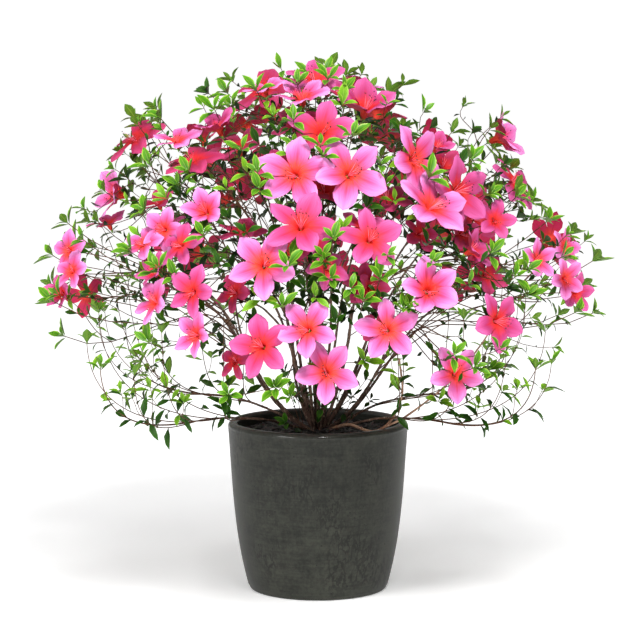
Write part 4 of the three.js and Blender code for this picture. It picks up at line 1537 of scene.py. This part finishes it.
# %% Stamens
def thread(path, radius):
    """A three-sided thread that ends in a point."""
    points, faces = [], []
    for i, p in enumerate(path[:-1]):
        side, other = frame_of(unit(path[i + 1] - p))
        points += [tuple(p + radius * (math.cos(a) * side + math.sin(a) * other)) for a in (0, 2.094, 4.189)]
    points.append(tuple(path[-1]))
    faces.append((2, 1, 0))
    for i in range(len(path) - 2):
        for k in range(3):
            n = (k + 1) % 3
            faces.append((3 * i + k, 3 * i + n, 3 * i + 3 + n, 3 * i + 3 + k))
    last = 3 * (len(path) - 2)
    faces += [(last + k, last + (k + 1) % 3, len(points) - 1) for k in range(3)]
    return points, faces, []


def kernel(at, way, length, width, sides=4):
    """A small grain, pointed at both ends."""
    side, other = frame_of(way)
    points = [tuple(at - way * length / 2), tuple(at + way * length / 2)]
    for a in around(sides):
        points.append(tuple(at + width / 2 * (math.cos(a) * side + math.sin(a) * other)))
    faces = []
    for k in range(sides):
        a, b = 2 + k, 2 + (k + 1) % sides
        faces += [(0, b, a), (1, a, b)]
    return points, faces, []


def stamens(rng):
    """The threads and the anthers of a bloom one unit across. The last of the seven is longer."""
    threads, anthers = [], []
    for k in range(7):
        long = k == 6
        a = 1.57 + (0 if long else (k - 2.5) * 0.5 + rng.normal(0, 0.08))
        out = 0.05 + (0.05 if long else rng.uniform(0.04, 0.09))
        high = 0.46 if long else rng.uniform(0.34, 0.4)
        end = vec(out * math.cos(a), out * math.sin(a) + 0.03, high)
        lean = unit(vec(0.5 * math.cos(a), 0.5 * math.sin(a), 1))
        threads.append(thread(bent(vec(0, 0, 0.04), UP, end, lean, 3), 0.0058))
        across = unit(vec(math.cos(a + 1.4), math.sin(a + 1.4), 0.5))
        anthers.append(kernel(end, across, 0.024 if long else 0.036, 0.022))
    return threads, anthers


# %% Setting the blooms down
rng = np.random.default_rng(5)
OPENINGS = [(76, 34), (82, 28), (70, 40), (86, 40), (80, 20), (64, 30), (48, 34), (74, 48)]
bloom_shapes = shape_collection("bloom", [bloom_shape(o, r, rng) for o, r in OPENINGS])
inner = [stamens(rng) for _ in OPENINGS]
thread_shapes = shape_collection("threads", [shape_mesh("threads", *joined(t)[:2]) for t, _ in inner])
anther_shapes = shape_collection("anthers", [shape_mesh("anthers", *joined(a)[:2]) for _, a in inner])

# The rose and deep tints are darker copies of the bright one: painted shade where they are dealt by depth or
# on the shaded shoulder, real variety where rose stands among the bright ones.
PETAL_TINTS = {  # throat, blade, tip and back
    "bright": ((0.9, 0.064, 0.024), (0.65, 0.075, 0.29), (0.86, 0.3, 0.68), (0.52, 0.023, 0.09)),
    "rose": ((0.76, 0.033, 0.02), (0.48, 0.033, 0.15), (0.68, 0.125, 0.37), (0.42, 0.015, 0.064)),
    "deep": ((0.6, 0.018, 0.018), (0.38, 0.017, 0.068), (0.53, 0.05, 0.17), (0.34, 0.011, 0.04)),
}


# Painted shade: above this height every other bloom on the left shoulder gets the deep tint.
SHADED_FROM = 560  # the height from which the left shoulder is shaded


def petal_shade_tint(i, head):
    """Bright at the surface, with some rose among them; rose and deep further in and deep on part of the
    shaded shoulder, where the darker tints are painted shade.
    """
    if head["at"][0] < LEFT_FROM and head["at"][2] > SHADED_FROM and i % 2:
        return "deep"
    if head["depth"] > AT_SURFACE and i % 3:
        return "bright"
    return "rose" if head["depth"] > 0.74 else "deep"


def bloom_spot(i, head):
    """The spot of a bloom. The large ones high up stand a little larger still."""
    side, _ = frame_of(head["look"], head["roll"])
    size = head["size"] * (1.22 if head["size"] > 60 and head["at"][2] > 390 else 1.05)
    return head["at"], side, head["look"], size, i * 5 % len(OPENINGS)


spots = {tint: [bloom_spot(i, head) for i, head in enumerate(blooms) if petal_shade_tint(i, head) == tint]
         for tint in PETAL_TINTS}
for tint, colours in PETAL_TINTS.items():
    finish = petal_finish(f"{tint} petal", *colours)
    pieces[f"petals_{tint}"] = set_down(f"petals_{tint}", spots[tint], bloom_shapes, finish)
every = [spot for listed in spots.values() for spot in listed]
for name, shapes, label, colour, roughness in (
        ("stamen_threads", thread_shapes, "stamen threads", (0.95, 0.2, 0.3), 0.5),
        ("anthers", anther_shapes, "maroon anthers", (0.045, 0.003, 0.01), 0.6)):
    finish, _, _ = new_finish(label, {"Base Color": colour, "Roughness": roughness})
    pieces[name] = set_down(name, every, shapes, finish)

# %% [markdown]
# ## Buds and calyxes
# A small green cup holds each tube, and a pointed bud stands in the middle of many
# rosettes. Both are the same plain grain at other sizes.

# %% Green grains
def grain_shape(width):
    points, faces, _ = kernel(vec(0, 0, 0.42), UP, 1.0, width, 6)
    return shape_mesh("grain", points, faces)


green = shape_collection("grain", [grain_shape(0.3), grain_shape(0.42)])
grains = [(at, frame_of(way)[0], way, size, 0) for at, way, size in buds]
for head in blooms:
    look = head["look"]
    grains.append((head["at"] - look * 3, frame_of(look)[0], look, 0.17 * head["size"], 1))
bud_finish, _, _ = new_finish("bud green", {"Base Color": (0.2, 0.42, 0.06), "Roughness": 0.5})
pieces["buds_and_calyxes"] = set_down("buds_and_calyxes", grains, green, bud_finish)

# %% [markdown]
# ## Putting each piece on the frame
# Everything rides on the one body, because nothing here is jointed. Each piece is listed
# with the solids that it stands for, and those solids are hidden.

# %% Clearing the single shapes away
for group in shape_groups:
    for shape in list(group.objects):
        mesh = shape.data
        bpy.data.objects.remove(shape)
        bpy.data.meshes.remove(mesh)
    bpy.data.collections.remove(group)

# %% Riding and replacing
foliage_nodes = [name for name in frame["nodes"] if name.startswith("foliage_")]
limb_nodes = [name for name in frame["nodes"] if name.startswith("limb_")]
standing_for = {
    pot: ("pot", ["pot"]), soil: ("soil", ["soil"]), shreds: ("soil", []),
    boughs: ("bark", limb_nodes), tan_boughs: ("bark", []), root: ("bark", ["root_crown"]),
    twigs: ("bark", foliage_nodes),
}
for name, thing in pieces.items():
    blossom = name.startswith(("petals", "stamen", "anthers"))
    standing_for[thing] = ("blossom", []) if blossom else ("foliage", foliage_nodes)
for thing, (slot, solids) in standing_for.items():
    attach(thing, "root")
    if solids:
        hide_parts(*solids)
print(len(standing_for), "pieces stand for", len(foliage_nodes) + len(limb_nodes) + 3, "solids")

# %% [markdown]
# ## Floor, light and camera
# The plant stands on a plain white floor that runs into a white surround, under soft
# light. A strong panel high in front gives the blooms their form and casts the shadows on
# the floor, a weaker one to the left shapes the pot, and a faint one hangs above. The
# surround fills the rest, a little more from the left. The floor glows, and glows less
# near the pot: a painted shade round it, in which the cast shadows there also show. The
# camera looks slightly down with a long lens, from far enough away that the pot's sides
# stay upright.

# %% The stage
WIDE, NEAR, FAR = 40, -12, 60  # metres of floor to each side, in front and behind
UNDER = -0.0004  # just below the pot, so that the two don't lie in one plane

floor_finish, nodes, shader = new_finish("white floor", {
    "Base Color": (0.9, 0.9, 0.9), "Roughness": 0.9, "Specular IOR Level": 0.1, "Emission Strength": 0.72})
away = nodes.add("ShaderNodeVectorMath", {"operation": "LENGTH"}, {0: object_place(nodes)}, out="Value")
# Painted shade: near the pot the floor glows only 0.4 as much, which darkens the floor round it.
feed(nodes, shader, "Emission Color", nodes.mix(away.between(0.2, 1.6), (0.4, 0.4, 0.4), (1.0, 1.0, 1.0)))
floor_mesh = bpy.data.meshes.new("floor")
corners = [(-WIDE, NEAR, UNDER), (WIDE, NEAR, UNDER), (WIDE, FAR, UNDER), (-WIDE, FAR, UNDER)]
floor_mesh.from_pydata(corners, [], [(0, 1, 2, 3)])
floor_mesh.materials.append(floor_finish)
floor = bpy.data.objects.new("floor", floor_mesh)
bpy.context.scene.collection.objects.link(floor)


# %% Lamps
def panel(name, place, aim, size, power):
    """A soft square lamp that faces a point."""
    lamp = bpy.data.lights.new(name, "AREA")
    lamp.shape, lamp.size, lamp.energy = "SQUARE", size, power
    holder = bpy.data.objects.new(name, lamp)
    holder.location = place
    holder.rotation_mode = "QUATERNION"
    holder.rotation_quaternion = (Vector(aim) - Vector(place)).to_track_quat("-Z", "Y")
    bpy.context.scene.collection.objects.link(holder)


panel("left panel", (-2.3, -2.5, 1.8), (0, 0, 0.35), 1.3, 44)
panel("front panel", (0.42, -2.25, 2.6), (0, 0, 0.35), 0.8, 98)
panel("top panel", (0.2, 0.7, 3.2), (0, 0, 0.3), 1.6, 5)

# %% The surround
SURROUND = {"all": 0.33, "from_left": 0.22, "seen": 0.8}  # light all round, from the left, and as seen

world = bpy.data.worlds.new("white surround")
world.use_nodes = True
bpy.context.scene.world = world
sky = Nodes(world.node_tree)
background = world.node_tree.nodes["Background"]
seen = sky.add("ShaderNodeLightPath", out="Is Camera Ray")
background.inputs["Color"].default_value = (1, 1, 1, 1)
side = sky.add("ShaderNodeSeparateXYZ", None, {"Vector": sky.add("ShaderNodeTexCoord", out="Generated")}, "X")
strength = SURROUND["all"] - side * SURROUND["from_left"] + seen * SURROUND["seen"]
sky.tree.links.new(strength.socket, background.inputs["Strength"])
bpy.context.scene.view_settings.view_transform = "Standard"

# %% The camera
TILT = 6.56  # degrees down from level
camera = bpy.data.objects.new("camera", bpy.data.cameras.new("camera"))
camera.data.sensor_width, camera.data.lens = 36, 144.8
camera.location = (0.0027, -3.4, 0.751)
camera.rotation_euler = (math.radians(90 - TILT), 0, 0)
bpy.context.scene.collection.objects.link(camera)
bpy.context.scene.camera = camera
